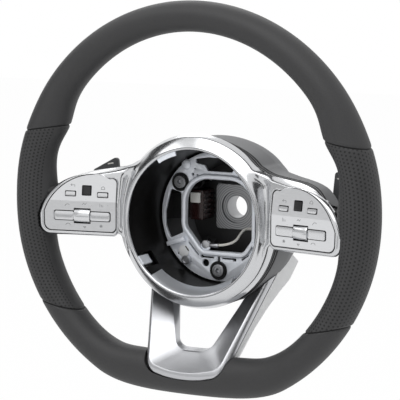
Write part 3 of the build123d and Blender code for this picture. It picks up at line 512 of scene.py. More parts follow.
dress(liner_plastic, 0, "hub_liner")
dress(key_silver, 0.0003, *both("inner_key", "outer_key", "inner_rocker", "outer_rocker", "roller"))
dress(key_black, 0.0003, *both("touch_pad"))
dress(paddle_plastic, 0.0005, *both("paddle"))
dress(black_plastic, 0, *both("paddle_bracket"))
dress(steel, 0, *both("paddle_pin"))
dress(casting, 0, "armature")
dress(foam, 0, "rim_foam")
tuck = nodes["rim_foam"].modifiers.new("tuck", "DISPLACE")
tuck.strength = -0.0042
tuck.mid_level = 0
dress(steel, 0.0003, "cover_screws", "horn_terminal")
dress(steel, 0, "horn_springs")
dress(black_plastic, 0.0003, "lead_socket")
dress(connector, 0.0004, "hub_connector")
dress(white_plastic, 0.0004, "connector_latch")
print("solids dressed:", sum(bool(piece.modifiers) for piece in nodes.values()))

# %% [markdown]
# ## The leather panels
#
# The cover is four panels sewn round the foam: a top one, a bottom one and two grips. Each follows the
# rim's ellipse, which swells where the thumbs rest, where the spokes enter and at the lower corners. The
# panel ends lie on the seams, which run across the rim at a slope, so the end of every row of points is
# found by halving the interval until the point lies on the seam. At a seam the leather turns down into a
# groove, and a dark strip closes the groove from below: it is painted shade, for the shade deep in the seam.

# %% Rim form
top_half = (0.0140, 0.0170)
side_half = (0.0156, 0.0195)
flat_drop = 0.173
flat_blend = 0.016
swells = [(0.0032, 26, 8), (0.0040, 0, 11), (0.0048, -72, 14), (0.0048, -108, 14)]
upper_seam = (0.130, 0.077, -0.128)
lower_seam = (0.119, -0.093, 0.18)
seam_gap = 0.0004
turns = 96
halvings = 30


def fold_back(angle):
    """The right half's angle that mirrors any angle."""
    angle = (angle + 180) % 360 - 180
    if angle > 90:
        return 180 - angle
    if angle < -90:
        return -180 - angle
    return angle


def rim_form(angle):
    """Middle radius, half width and half depth of the grip at an angle in degrees."""
    angle = fold_back(angle)
    side = cos(radians(angle)) ** 2
    width = top_half[0] + (side_half[0] - top_half[0]) * side
    width += sum(size * exp(-(((angle - middle) / spread) ** 2)) for size, middle, spread in swells)
    depth = top_half[1] + (side_half[1] - top_half[1]) * side
    fall = -sin(radians(angle))
    reach = rim_radius
    if fall > 0:
        flat = flat_drop / fall
        share = min(max(0.5 + 0.5 * (flat - rim_radius) / flat_blend, 0), 1)
        reach = flat + (rim_radius - flat) * share - flat_blend * share * (1 - share)
    return reach - width, width, depth


def rim_point(angle, turn, inset=0.0):
    """Point of the leather at an angle round the wheel and a turn round the grip."""
    middle, width, depth = rim_form(angle)
    reach = middle + (width - inset) * cos(turn)
    back = (depth - inset) * sin(turn)
    return Vector((reach * cos(radians(angle)), back - rim_depth, rim_rise + reach * sin(radians(angle))))


def seam_angle(seam, turn, low, high, shift):
    """Angle at which a row of points crosses a seam on the right half."""
    for step in range(halvings):
        middle = (low + high) / 2
        point = rim_point(middle, turn)
        if point.z < seam[1] + seam[2] * (point.x - seam[0]) + shift:
            low = middle
        else:
            high = middle
    return low


# %% Leather panels
lining_depth = 0.0020
groove_depth = 0.0011
groove_roll = 0.0028
edge_steps = [0, 0.0003, 0.0007, 0.0012, 0.0018, 0.0026, 0.0036]
seam_shade_half = 0.006
seam_shade_depth = 0.0012


def leather_panel(name, start, end, columns, finish, sunk=0.0):
    """A closed skin between two ends, given as functions of the turn."""
    rows = []
    for step in range(turns):
        turn = 2 * pi * step / turns
        first, last = start(turn), end(turn)
        length = radians(last - first) * grip_middle
        shares = [edge / length for edge in edge_steps]
        inner = np.linspace(edge_steps[-1], length - edge_steps[-1], columns)[1:-1] / length
        shares = [*shares, *inner, *[1 - share for share in reversed(shares)]]
        rows.append([])
        for share in shares:
            edge = min(share, 1 - share) * length
            dip = groove_depth * (1 - sqrt(1 - (1 - min(edge / groove_roll, 1)) ** 2))
            rows[-1].append((first + (last - first) * share, turn, dip))
    count = len(rows[0])
    outer = [rim_point(a, t, dip + sunk) for row in rows for a, t, dip in row]
    lining = [rim_point(a, t, lining_depth + sunk) for row in rows for a, t, dip in row]
    faces = []
    for i in range(turns):
        k = (i + 1) % turns
        for j in range(count - 1):
            quad = (i * count + j, i * count + j + 1, k * count + j + 1, k * count + j)
            faces.append(quad[::-1])
            faces.append(tuple(index + len(outer) for index in quad))
        for j in (0, count - 1):
            rim = (i * count + j, k * count + j, k * count + j + len(outer), i * count + j + len(outer))
            faces.append(rim[::-1] if j == 0 else rim)
    return mesh_object(name, outer + lining, faces, finish)


def upper(shift):
    """The upper seam's angle at any turn, moved up by a shift."""
    return lambda turn: seam_angle(upper_seam, turn, 5, 60, shift)


def lower(shift):
    """The lower seam's angle at any turn, moved up by a shift."""
    return lambda turn: seam_angle(lower_seam, turn, -75, -10, shift)


def on_left(start, end):
    """The ends of the same stretch of the rim on the left half."""
    return lambda turn: 180 - end(turn), lambda turn: 180 - start(turn)


top_start = upper(seam_gap)
grip_end = upper(-seam_gap)
grip_start = lower(seam_gap)
bottom_end = lower(-seam_gap)
panels = {
    "leather_top": (top_start, lambda turn: 180 - top_start(turn), 170, smooth_leather),
    "leather_bottom": (lambda turn: -180 - bottom_end(turn), bottom_end, 170, smooth_leather),
    "right_leather_grip": (grip_start, grip_end, 110, punched_leather),
    "left_leather_grip": (*on_left(grip_start, grip_end), 110, punched_leather),
}
leather_pieces = {}
for name, (start, end, columns, finish) in panels.items():
    leather_pieces[name] = leather_panel(name + "_skin", start, end, columns, finish)
    print(name, len(leather_pieces[name].data.polygons), "faces")
# Dark strips under the seams are painted shade: they darken each seam's groove as its shade would.
for name, seam in (("upper", upper), ("lower", lower)):
    start, end = seam(-seam_shade_half), seam(seam_shade_half)
    for word, ends in (("right", (start, end)), ("left", on_left(start, end))):
        seam_shade_strip = leather_panel(f"{word}_{name}_seam_groove_shade", *ends, 4, rubber, seam_shade_depth)
        settle(seam_shade_strip, "wheel")

# %% [markdown]
# ## Room for the pods and the lower spoke
#
# The pods and the lower spoke's trim are let into the rim, and the leather is trimmed round them. A cutter
# with the outline of each takes that room out of the panels, as the knife does.

# %% Planes of the pods and the lower spoke
pod_across, pod_height, pod_up = 0.1145, 0.1132, 0.006
pod_origin = Vector((pod_across, -pod_height, pod_up))
pod_tilt = radians(11.5)
pod_x = Vector((cos(pod_tilt), -sin(pod_tilt), 0))
pod_y = Vector((0, 0, 1))
pod_z = Vector((-sin(pod_tilt), -cos(pod_tilt), 0))
spoke_tilt = radians(32)
spoke_origin = Vector((0, -0.120, -0.139))
spoke_x = Vector((1, 0, 0))
spoke_y = Vector((0, sin(spoke_tilt), cos(spoke_tilt)))
spoke_z = Vector((0, -cos(spoke_tilt), sin(spoke_tilt)))
pod_axes = [pod_x, pod_y, pod_z]
spoke_axes = [spoke_x, spoke_y, spoke_z]


def mirror(vector):
    """The same vector on the other half of the wheel."""
    return Vector((-vector.x, vector.y, vector.z))


pods = {
    "right": (1, pod_origin, pod_axes),
    "left": (-1, mirror(pod_origin), [mirror(axis) for axis in pod_axes]),
}
print("pods lie", round(pod_across * 1000, 1), "mm to each side of the hub")


# %% Outlines with round corners
arc_steps = 40


def round_corners(points, radii, steps=8):
    """A closed outline with each corner replaced by an arc of its radius."""
    smooth = []
    for index, (point, radius) in enumerate(zip(points, radii)):
        here = Vector(point)
        before = (Vector(points[index - 1]) - here).normalized()
        after = (Vector(points[(index + 1) % len(points)]) - here).normalized()
        if not radius:
            smooth.append(here)
            continue
        half = before.angle(after) / 2
        cut = radius / tan(half)
        centre = here + (before + after).normalized() * radius / sin(half)
        first = here + before * cut - centre
        last = here + after * cut - centre
        for step in range(steps + 1):
            share = step / steps
            arm = first.normalized().slerp(last.normalized(), share)
            smooth.append(centre + arm * radius)
    return smooth


def pod_loop(inner, top, low, foot, knee, shoulder, heel, radii):
    """A pod's front view: straight towards the hub and below, with an arc through three points at the rim."""
    (ax, ay), (bx, by), (cx, cy) = knee, shoulder, heel
    twice = 2 * (ax * (by - cy) + bx * (cy - ay) + cx * (ay - by))
    squares = [ax * ax + ay * ay, bx * bx + by * by, cx * cx + cy * cy]
    centre = Vector((
        (squares[0] * (by - cy) + squares[1] * (cy - ay) + squares[2] * (ay - by)) / twice,
        (squares[0] * (cx - bx) + squares[1] * (ax - cx) + squares[2] * (bx - ax)) / twice,
    ))
    arms = [Vector(point) - centre for point in (heel, knee)]
    sweep = np.linspace(np.arctan2(*arms[0].yx), np.arctan2(*arms[1].yx), arc_steps)
    arc = [centre + arms[1].length * Vector((cos(turn), sin(turn))) for turn in sweep]
    corners = round_corners([(-inner, top), (-inner, -low), (foot, -low), heel], [*radii, 0])
    return [point.to_2d() for point in corners[:-1]] + arc


def pod_outline(grow):
    """The outline of a pod's frame, grown outwards."""
    return pod_loop(
        0.0362 + grow, 0.0272 + grow, 0.0302 + grow, 0.0400 + grow, (-0.0080, 0.0268 + grow),
        (0.0268 + grow * 0.7, 0.0135 + grow * 0.7), (0.0415 + grow, -0.0125), (0.0045, 0.0045, 0.011),
    )


def panel_outline(grow):
    """The outline of a pod's face panel, grown outwards."""
    return pod_loop(
        0.0353 + grow, 0.0264 + grow, 0.0258 + grow, 0.0345 + grow, (-0.0215, 0.0264 + grow),
        (0.0165 + grow * 0.7, 0.0168 + grow * 0.7), (0.0350 + grow, -0.0080), (0.0045, 0.0045, 0.0065),
    )


print("points of a pod's outline:", len(pod_outline(0)))


# %% [markdown]
# A prism with the outline makes the cutter, and a boolean takes it away. The result is kept as a plain
# mesh, so that no cutter stays in the scene.


# %% Cutting
def prism(name, outline, origin, axes, low, high, finish):
    """A straight block with an outline, between two depths of a leaning plane."""
    ax, ay, az = axes
    count = len(outline)
    points = [origin + ax * p.x + ay * p.y + az * z for z in (low, high) for p in outline]
    faces = [tuple(range(count))[::-1], tuple(range(count, 2 * count))]
    faces += [(i, (i + 1) % count, (i + 1) % count + count, i + count) for i in range(count)]
    return mesh_object(name, points, faces, finish)


def carve(piece, cutter):
    """Take a cutter's room out of a piece, and drop the cutter."""
    tool = piece.modifiers.new("carve", "BOOLEAN")
    tool.operation = "DIFFERENCE"
    tool.object = cutter
    tool.solver = "EXACT"
    whole = piece.evaluated_get(bpy.context.evaluated_depsgraph_get())
    carved = bpy.data.meshes.new_from_object(whole)
    piece.modifiers.clear()
    old = piece.data
    piece.data = carved
    bpy.data.meshes.remove(old)
    bpy.data.objects.remove(cutter)


cut_play = 0.0003
cut_front = 0.03
pod_room_depth = -0.0153
spoke_room_depth = -0.0083
pod_room = pod_outline(cut_play)
pod_depths = pod_room_depth, cut_front
for word, (side, origin, axes) in pods.items():
    cutter = prism(word + "_pod_room", pod_room[::side], origin, axes, *pod_depths, black_plastic)
    carve(leather_pieces[word + "_leather_grip"], cutter)
    print(word, "grip is cut for its pod")

# %% [markdown]
# The lower spoke's outline is an open run: down the left leg, round a corner, along a slightly sagging foot
# and up again. Half width, foot height, slope of the legs, sag, corner radius and the share of the foot
# between the corners describe it, and other runs of the trim take other values.

# %% Lower spoke outline
spoke_edge = (0.0388, -0.0035, 0.235, 0.0045, 0.016, 0.5)
spoke_length = 0.133
corner_steps, foot_steps = 10, 15


def leg_run(half, low, slope, sag, corner, flat, inset=0.0):
    """Points down the left leg, round the foot and up the right leg, with the same count for every run."""
    head = half + slope * (spoke_length - low)
    knee = flat * half
    foot_end = low - sag * (1 - (knee / half) ** 2)
    right = [(knee, foot_end), (half, low), (head, spoke_length)]
    left = [(-x, y) for x, y in reversed(right)]
    corners = round_corners(left + right, [0, corner, 0, 0, corner, 0], steps=corner_steps)
    across = np.linspace(-knee, knee, foot_steps)
    foot = [Vector((x, low - sag * (1 - (x / half) ** 2))) for x in across]
    edge = corners[: corner_steps + 2] + foot + corners[corner_steps + 4 :]
    moved = []
    for index, point in enumerate(edge):
        along = edge[min(index + 1, len(edge) - 1)] - edge[max(index - 1, 0)]
        moved.append(point + Vector((-along.y, along.x)).normalized() * inset)
    return moved


spoke_room = leg_run(*spoke_edge, -cut_play)
cutter = prism("spoke_room", spoke_room, spoke_origin, spoke_axes, spoke_room_depth, cut_front, black_plastic)
carve(leather_pieces["leather_bottom"], cutter)
for name, piece in leather_pieces.items():
    settle(piece, "wheel", name)
    print(name, "after cutting:", len(piece.data.polygons), "faces")

# %% [markdown]
# ## The lower spoke's trim
#
# A plated frame in the shape of a U: a round border rises to a crest, and from the crest the faces slope
# into the opening. It could be cut from a slab, but plating needs soft edges, so it is drawn as strips:
# each strip runs down one leg, round the corner, along the foot and up the other leg. Four lines are given,
# the edge, the crest, the mouth and its lip, and the strips between them are blends of two lines at a depth
# of their own. The legs end at the hub's ring. The plating is satin, rougher than the hub trim's, so light
# runs softly along the legs.

# %% Lower spoke trim
spoke_crest = (0.0356, 0.0035, 0.244, 0.0063, 0.012, 0.5)
mouth_edge = (0.0166, 0.0220, 0.378, 0.0, 0.0155, 0.28)
mouth_lip = (0.0185, 0.0285, 0.290, 0.0, 0.0140, 0.28)
border_foot, border_back = -0.0031, -0.0060
under_inset = 0.002
depth_unit = 0.0001
leg_steps = 30
hub_up = -0.005
ring_room = 0.0803


def spread_run(run):
    """The run with its two legs divided into even steps."""
    steps = np.linspace(0, 1, leg_steps)
    left = [run[0].lerp(run[1], share) for share in steps[:-1]]
    right = [run[-2].lerp(run[-1], share) for share in steps[1:]]
    return left + run[1:-1] + right


def on_spoke(point, depth):
    """Place of a point of the lower spoke's plane, at a depth over it."""
    return spoke_origin + spoke_x * point.x + spoke_y * point.y + spoke_z * depth


def stop_at_ring(run, depth):
    """The run with each leg cut off where it reaches the hub's ring."""
    cut = list(run)
    for end, near in ((0, 1), (-1, -2)):
        low, high = run[near].copy(), run[end].copy()
        for step in range(halvings):
            middle = low.lerp(high, 0.5)
            place = on_spoke(middle, depth)
            if Vector((place.x, place.z - hub_up)).length > ring_room:
                low = middle
            else:
                high = middle
        cut[end] = low
    return cut


def blend_run(first, last, share):
    """The run between two runs of the same count."""
    return [a.lerp(b, share) for a, b in zip(first, last)]


def strip_mesh(name, rows, finish):
    """A closed body from strips that follow one another all round."""
    count = len(rows[0])
    points = [point for row in rows for point in row]
    faces = []
    for i in range(len(rows)):
        k = (i + 1) % len(rows)
        for j in range(count - 1):
            faces.append((i * count + j, i * count + j + 1, k * count + j + 1, k * count + j))
    for end in (0, count - 1):
        faces.append(tuple(i * count + end for i in range(len(rows))))
    print(name, len(faces), "faces")
    return mesh_object(name, points, faces, finish)


edge_line, crest_line = leg_run(*spoke_edge), leg_run(*spoke_crest)
mouth_line, lip_line = leg_run(*mouth_edge), leg_run(*mouth_lip)
under_line = leg_run(*spoke_edge, under_inset)
border = [(0, -31), (0, -25), (0.06, -12), (0.18, 4), (0.38, 17), (0.62, 25), (0.85, 29), (1, 30)]
slope = [(0.03, 27), (0.1, 20), (0.25, 6), (0.45, -12), (0.65, -28), (0.83, -41), (0.95, -48), (1, -52)]
mouth = [(0.08, -58), (0.3, -72), (0.6, -92), (0.9, -112), (1, -120), (1, -126)]
strips = [(under_line, under_line, 0, border_back), (under_line, under_line, 0, border_foot)]
for first, last, steps in (
    (edge_line, crest_line, border), (crest_line, mouth_line, slope), (mouth_line, lip_line, mouth)
):
    strips += [(first, last, share, depth * depth_unit) for share, depth in steps]
rows = []
for first, last, share, depth in strips:
    run = stop_at_ring(blend_run(first, last, share), depth)
    rows.append([on_spoke(point, depth) for point in spread_run(run)])
satin = metal("satin", paint(192, 193, 196), 0.32, 60, change=0.02)
spoke_trim = strip_mesh("spoke_trim_shell", rows, satin)
settle(spoke_trim, "wheel", "lower_spoke_trim")

# %% [markdown]
# ## The channel behind it
#
# A pale moulded channel closes the lower spoke from behind and hides the cast arm. Its outer wall is
# shallow at the rim and deepens towards the hub's cover, where it ends; from the back edge of that wall the
# moulding passes behind the arm to the opening. A thin black strip between the trim and the channel is
# painted shade: it darkens the gap between them as its shade would.

# %% Channel
channel_front = -0.0052
wall_along = [0.000, 0.025, 0.050, 0.075, 0.095, 0.110, 0.150]
wall_depth = [-0.009, -0.010, -0.013, -0.017, -0.023, -0.029, -0.027]
arm_along, arm_depth = [0.008, 0.022], [-0.010, -0.0235]
wall_inset, shade_strip_inset = 0.0005, 0.0012
wall_step = 0.0012
lip_behind, lip_back = -0.0150, -0.0128
channel_reach, channel_turn, channel_taper = 0.0705, 0.128, 1.6


def channel_row(line, share, depth):
    """One strip of the channel; its depth follows from the wall's depth and the place along the spoke."""
    row = []
    for point in spread_run(blend_run(line, lip_line, share)):
        wall = float(np.interp(point.y, wall_along, wall_depth))
        behind = float(np.interp(point.y, arm_along, arm_depth))
        limit = channel_reach - channel_taper * max(point.y - channel_turn, 0)
        place = Vector((max(min(point.x, limit), -limit), point.y))
        row.append(on_spoke(place, depth(wall, min(wall, behind))))
    return row


wall_line = leg_run(*spoke_edge, wall_inset)
shade_strip_line = leg_run(*spoke_edge, shade_strip_inset)
rows = [
    channel_row(wall_line, 0, lambda wall, behind: channel_front),
    channel_row(wall_line, 0, lambda wall, behind: wall * 0.5 + channel_front / 2),
    channel_row(wall_line, 0, lambda wall, behind: wall),
    channel_row(wall_line, 0.05, lambda wall, behind: wall - wall_step),
    channel_row(wall_line, 0.25, lambda wall, behind: behind),
    channel_row(wall_line, 0.70, lambda wall, behind: behind),
    channel_row(wall_line, 0.97, lambda wall, behind: lip_behind),
    channel_row(wall_line, 1, lambda wall, behind: lip_back),
]
channel = strip_mesh("spoke_channel_shell", rows, light_plastic)
settle(channel, "wheel", "lower_spoke_back")
# A thin black strip in the gap between trim and channel: painted shade.
shade_strip_outside = [(shade_strip_line, border_foot), (shade_strip_line, channel_front)]
shade_strip_inside = [(under_line, channel_front), (under_line, border_foot)]
rows = []
for line, depth in shade_strip_outside + shade_strip_inside:
    rows.append([on_spoke(point, depth) for point in spread_run(stop_at_ring(line, depth))])
settle(strip_mesh("spoke_gap_shade", rows, black_plastic), "wheel")

# %% [markdown]
# ## Pod frames
#
# Each pod is framed by a plated bead with a round top, which stands a little above the panel and leans back
# above the pod's crease as the panel does. The bead is one profile carried round the pod: each row blends
# the frame's outline with the panel's by a share, and has a height of its own. The lowest rows draw in, as
# a moulded skirt does.

# %% Pod frames
crease_up = 0.002
crease_lean = tan(radians(8))
panel_line = 0.0004
skirt_top = -0.010
bead = [
    (0, -0.0085, -0.0130), (0, -0.0030, -0.0065), (0, 0, -0.0030), (0.12, 0, -0.0016), (0.3, 0, -0.0006),
    (0.55, 0, 0.0001), (0.8, 0, 0.0003), (0.93, 0, 0.0001), (1, 0, -0.0005), (1, 0, -0.0120),
]


def pod_point(x, y, z, side):
    """Place of a pod's own coordinates, on the right (1) or the left (-1)."""
    place = pod_origin + pod_x * x + pod_y * y + pod_z * z
    return Vector((place.x * side, place.y, place.z))


def finer(loop, parts=4):
    """A loop with each of its straight steps divided."""
    ends = zip(loop, loop[1:] + loop[:1])
    return [here.lerp(after, part / parts) for here, after in ends for part in range(parts)]


def loop_mesh(name, loops, finish):
    """A closed body from loops that follow one another all round."""
    count = len(loops[0])
    faces = []
    for i in range(len(loops)):
        k = (i + 1) % len(loops)
        for j in range(count):
            n = (j + 1) % count
            faces.append((i * count + j, i * count + n, k * count + n, k * count + j))
    return mesh_object(name, [point for loop in loops for point in loop], faces, finish)


def panel_height(y):
    """Height of a pod's face above its plane: level below the crease, leaning back above it."""
    return -max(y - crease_up, 0) * crease_lean


for word, (side, origin, axes) in pods.items():
    loops = []
    for share, grow, z in bead:
        loop = [a.lerp(b, share) for a, b in zip(finer(pod_outline(grow)), finer(panel_outline(panel_line)))]
        loops.append([])
        for p in loop:
            lean = panel_height(p.y) if z > skirt_top else 0
            loops[-1].append(pod_point(p.x, p.y, z + lean, side))
    made = loop_mesh(word + "_pod_bead", loops, polished)
    settle(made, "wheel", word + "_pod_frame")
    print(word, "pod bead:", len(made.data.polygons), "faces")

# %% [markdown]
# ## Brushed panels
#
# The panel inside each bead is a sheet of brushed metal with a crease: the part above it leans back. It is
# drawn as a slab whose upper side has an edge along the crease, and the windows for the keys are then cut
# through it. Both faces are flat, so a panel isn't smoothed. A black line in the gap between panel and bead,
# and a black ring in each window, clear of its key, are painted shade: they darken these gaps.

# %% Face panels
panel_play = 0.0003
panel_low = -0.005
panel_cut = 0.02
key_gap = 0.0008
shade_ring_gap = 0.00045
panel_shade_span, shade_ring_span = (-0.004, -0.0002), (-0.0045, -0.0007)
on_crease = 1e-7
windows = [
    (-0.0221, 0.0083, 0.0095, 0.0038, 0.001), (0.0095, 0.0086, 0.0095, 0.0038, 0.001),
    (-0.0063, 0.0119, 0.0080, 0.0080, 0.001), (-0.01975, -0.0118, 0.0193, 0.0080, 0.002),
    (0.0152, -0.0118, 0.0194, 0.0080, 0.002), (-0.0023, -0.0118, 0.0150, 0.0127, 0.0004),
]


def box_outline(x, y, width, height, corner, gap):
    """A window's outline: a rectangle with round corners, grown by a gap."""
    w, h = width / 2 + gap, height / 2 + gap
    corners = [(x - w, y + h), (x - w, y - h), (x + w, y - h), (x + w, y + h)]
    return [point.to_2d() for point in round_corners(corners, [corner] * 4, steps=5)]


def split_loop(outline, level):
    """An outline with a point added wherever it crosses a level."""
    marked = []
    for here, after in zip(outline, outline[1:] + outline[:1]):
        marked.append(here)
        if (here.y - level) * (after.y - level) < 0:
            marked.append(here.lerp(after, (level - here.y) / (after.y - here.y)))
    return marked


def one_run(marks, count):
    """Numbers of neighbouring points round a loop, started after the gap in them."""
    first = next(i for i in range(len(marks)) if (marks[i] - marks[i - 1]) % count != 1)
    return tuple(marks[first:] + marks[:first])


def pod_shade_ring(name, outline, rows, side):
    """A black ring of painted shade in a gap on a pod; the outline is a function of how far each row is
    grown.
    """
    loops = []
    for grow, z in rows:
        loops.append([pod_point(p.x, p.y, z + panel_height(p.y), side) for p in outline(grow)])
    settle(loop_mesh(name, loops, black_plastic), "wheel")


def ring_rows(inner, outer, low, high):
    """The four corners of a ring's section."""
    return [(inner, low), (inner, high), (outer, high), (outer, low)]


for word, (side, origin, axes) in pods.items():
    loop = split_loop(panel_outline(-panel_play), crease_up)
    count = len(loop)
    points = [pod_point(p.x, p.y, panel_height(p.y), side) for p in loop]
    points += [pod_point(p.x, p.y, panel_low, side) for p in loop]
    above = [index for index, p in enumerate(loop) if p.y > crease_up - on_crease]
    under = [index for index, p in enumerate(loop) if p.y < crease_up + on_crease]
    faces = [one_run(above, count), one_run(under, count), tuple(range(count, 2 * count))]
    faces += [(i, (i + 1) % count, (i + 1) % count + count, i + count) for i in range(count)]
    panel = mesh_object(word + "_pod_panel", points, faces, brushed)
    for number, window in enumerate(windows):
        hole = box_outline(*window, key_gap)
        carve(panel, prism(f"window_{number}", hole, origin, axes, -panel_cut, panel_cut, brushed))
    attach(panel, "wheel")
    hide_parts(word + "_face_panel")
    print(word, "panel:", len(panel.data.polygons), "faces")
    # Black line round the panel and black rings round the keys: painted shade in the gaps.
    panel_shade_rows = ring_rows(-panel_play, panel_line, *panel_shade_span)
    pod_shade_ring(word + "_panel_line", lambda grow: finer(panel_outline(grow)), panel_shade_rows, side)
    key_shade_rows = ring_rows(shade_ring_gap, key_gap, *shade_ring_span)
    for number, window in enumerate(windows):
        pod_shade_ring(f"{word}_key_gap_{number}", lambda gap: box_outline(*window, gap), key_shade_rows, side)

# %% [markdown]
# ## Signs on the panels
#
# Small grey signs are printed beside the keys: an arrow, a house, a handset and the like. Print has almost
# no thickness, but a mesh of thin strokes keeps it sharp from every side, so each sign is a few strokes of
# ribbon. A larger white sign is on each paddle: a plus on the right and a minus on the left. Places and
# drawings on the pods are in millimetres.

# %% Signs
sign_places = [
    (-22.1, 14.6), (7.6, 16.0), (-21.1, -1.4), (-4.5, -0.6), (12.7, -2.2),
    (-20.8, -20.6), (-4.8, -22.2), (11.6, -20.2),
]
drawings = {
    "arrow": [[(2, -1), (2, 0.6), (-2, 0.6)], [(-1, 1.5), (-2, 0.6), (-1, -0.3)]],
    "house": [[(-1.6, -1.2), (-1.6, 0.3), (0, 1.5), (1.6, 0.3), (1.6, -1.2), (-1.6, -1.2)]],
    "bars": [[(-1.4, -1.4), (-1.4, 1.4)], [(0, -1.4), (0, 0.6)], [(1.4, -1.4), (1.4, 0)]],
    "wave": [[(-2, -0.6), (-0.7, 0.8), (0.6, -0.6), (1.9, 0.8)]],
    "handset": [[(-2, -1), (-1.2, 0.4), (0, 1), (1.4, 1), (2.2, 0.4)]],
    "star": [[(-1.4, 0), (1.4, 0)], [(0, -1.4), (0, 1.4)], [(-1, -1), (1, 1)], [(-1, 1), (1, -1)]],
    "wedge": [[(-1.2, 0.6), (1.2, 0.6), (0, -0.8), (-1.2, 0.6)]],
    "arch": [[(-2.2, -0.4), (-1.6, 0.7), (0, 1.1), (1.6, 0.7), (2.2, -0.4)]],
}
lower_signs = ["bars", "wave", "handset", "star", "wedge", "arch"]
sign_order = {"right": ["arrow", "house", *lower_signs], "left": ["house", "arrow", *lower_signs]}
stroke_half = 0.00022
print_height = 0.00004
print_depth = -0.0004


def ribbon(points, place, half):
    """Quads along a stroke; `place` puts a point of the flat drawing on the surface, at a height over it."""
    corners, faces = [], []
    for here, after in zip(points, points[1:]):
        along = (after - here).normalized() * half
        aside = Vector((-along.y, along.x))
        quad = [here - along + aside, here - along - aside, after + along - aside, after + along + aside]
        first = len(corners)
        corners += [place(p, print_depth) for p in quad] + [place(p, print_height) for p in quad]
        faces += [(0, 1, 2, 3), (7, 6, 5, 4), (0, 4, 5, 1), (1, 5, 6, 2), (2, 6, 7, 3), (3, 7, 4, 0)]
        faces[-6:] = [tuple(first + index for index in face) for face in faces[-6:]]
    return corners, faces


def on_pod(side):
    """A function that puts a point of a flat drawing on a pod's face, at a height over it."""
    return lambda point, z: pod_point(point.x, point.y, z + panel_height(point.y), side)


def printed(name, strokes, place, half, finish):
    """All strokes of one print as a single piece."""
    corners, faces = [], []
    for stroke in strokes:
        drawn = ribbon(stroke, place, half)
        faces += [tuple(len(corners) + index for index in face) for face in drawn[1]]
        corners += drawn[0]
    print(name, len(strokes), "strokes")
    return mesh_object(name, corners, faces, finish)


for word, (side, origin, axes) in pods.items():
    strokes = []
    for (x, y), drawing in zip(sign_places, sign_order[word]):
        for stroke in drawings[drawing]:
            strokes.append([Vector((x / 1000 + side * u / 1000, y / 1000 + v / 1000)) for u, v in stroke])
    made = printed(word + "_pod_signs", strokes, on_pod(side), stroke_half, print_grey)
    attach(made, "wheel")

# %% Paddle signs
paddle_face = 0.0463
paddle_stroke_half = 0.0006
paddle_signs = {
    "left": [[(-0.1240, 0.0362), (-0.1190, 0.0372)]],
    "right": [[(0.1163, 0.0362), (0.1207, 0.0362)], [(0.1185, 0.0340), (0.1185, 0.0384)]],
}


def on_paddle(point, z):
    """Place of a point of a flat drawing on a paddle's face."""
    return Vector((point.x, -paddle_face - z, point.y))


for word, drawing in paddle_signs.items():
    strokes = [[Vector(point) for point in stroke] for stroke in drawing]
    made = printed(word + "_paddle_sign", strokes, on_paddle, paddle_stroke_half, white_plastic)
    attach(made, word + "_paddle")

# %% [markdown]
# ## The hub trim
#
# One plated moulding makes the bezel ring and both wings. Seen from the front its outline is a circle that
# melts into the wings, and every ray from the hub's centre crosses it once. The surface is therefore drawn
# along such rays: each point's height comes from the ring's lip, the flute beside it, the wing's face and,
# near the outline, a round fall to the back edge. The seats of the pods are sunk into it.

# %% Trim outline
ring_edge = 0.080
ring_blend = 0.010
trim_back, tip_back = 0.096, 0.112
tip_start, tip_run = 0.100, 0.046
ray_count = 900
side_points, smear = 200, 6
wing_corners = [
    (0, 0.030), (0.060, 0.0445), (0.075, 0.0412), (0.090, 0.0385), (0.100, 0.0370), (0.110, 0.0350),
    (0.122, 0.0315), (0.129, 0.0272), (0.1345, 0.0218), (0.139, 0.0148), (0.1435, 0.0070), (0.148, -0.001),
    (0.151, -0.010), (0.151, -0.0225), (0, -0.0225),
]


def smoothly(value):
    """A share that starts and ends without a kink."""
    value = np.clip(value, 0, 1)
    return value * value * (3 - 2 * value)


def smooth_max(a, b, width):
    """The larger of two values, with the change from one to the other rounded over a width."""
    share = np.clip(0.5 + 0.5 * (b - a) / width, 0, 1)
    return a * (1 - share) + b * share + width * share * (1 - share)


corners = np.array(wing_corners)
dense = np.concatenate([np.linspace(a, b, side_points) for a, b in zip(corners[:-1], corners[1:])])
dense_turn = np.arctan2(dense[:, 1] - hub_up, dense[:, 0])
order = np.argsort(dense_turn)
dense_reach = np.hypot(dense[:, 0], dense[:, 1] - hub_up)[order]
dense_turn = dense_turn[order]
rays = np.linspace(0, 2 * pi, ray_count, endpoint=False)
folded = np.arctan2(np.sin(rays), np.abs(np.cos(rays)))
wing_reach = np.interp(folded, dense_turn, dense_reach)
kernel = np.exp(-np.linspace(-2, 2, 2 * smear + 1) ** 2)
padded_reach = np.concatenate([wing_reach[-smear:], wing_reach, wing_reach[:smear]])
wing_reach = np.convolve(padded_reach, kernel / kernel.sum(), "valid")
trim_reach = smooth_max(np.full(ray_count, ring_edge), wing_reach, ring_blend)
outline_x = trim_reach * np.cos(rays)
edge_back = trim_back + (tip_back - trim_back) * smoothly((np.abs(outline_x) - tip_start) / tip_run)
print("trim outline reaches", round(float(outline_x.max()) * 1000, 1), "mm across")

# %% [markdown]
# The height at a point is put together from shares. The wing's share is 1 within an angle above and below
# the wing and 0 on the ring. The flute dips most halfway between the lip and the pod and fades towards the
# outline, where the surface rounds down to the back edge. Inside a pod's seat the face drops a little and
# then falls away into a pit, which leaves room for the pod.

# %% Trim heights
lip_inner, lip_outer, lip_height = 0.066, 0.0684, 0.109
flute_end = pod_origin.x - 0.0370 * cos(pod_tilt)
flute_depth, flute_most, flute_fade = 0.42, 0.0075, 0.011
ring_slope = 0.62
wing_above, wing_below, wing_fade = 0.85, 0.62, 0.40
face_play = 0.0001
ring_round, wing_round, round_power = 0.0030, 0.0050, 1.9
seat_dip = 0.0010
pit_start, pit_run, pit_fall = 0.0026, 0.0014, 0.014
seat_points, fine_count = 400, 4 * ray_count


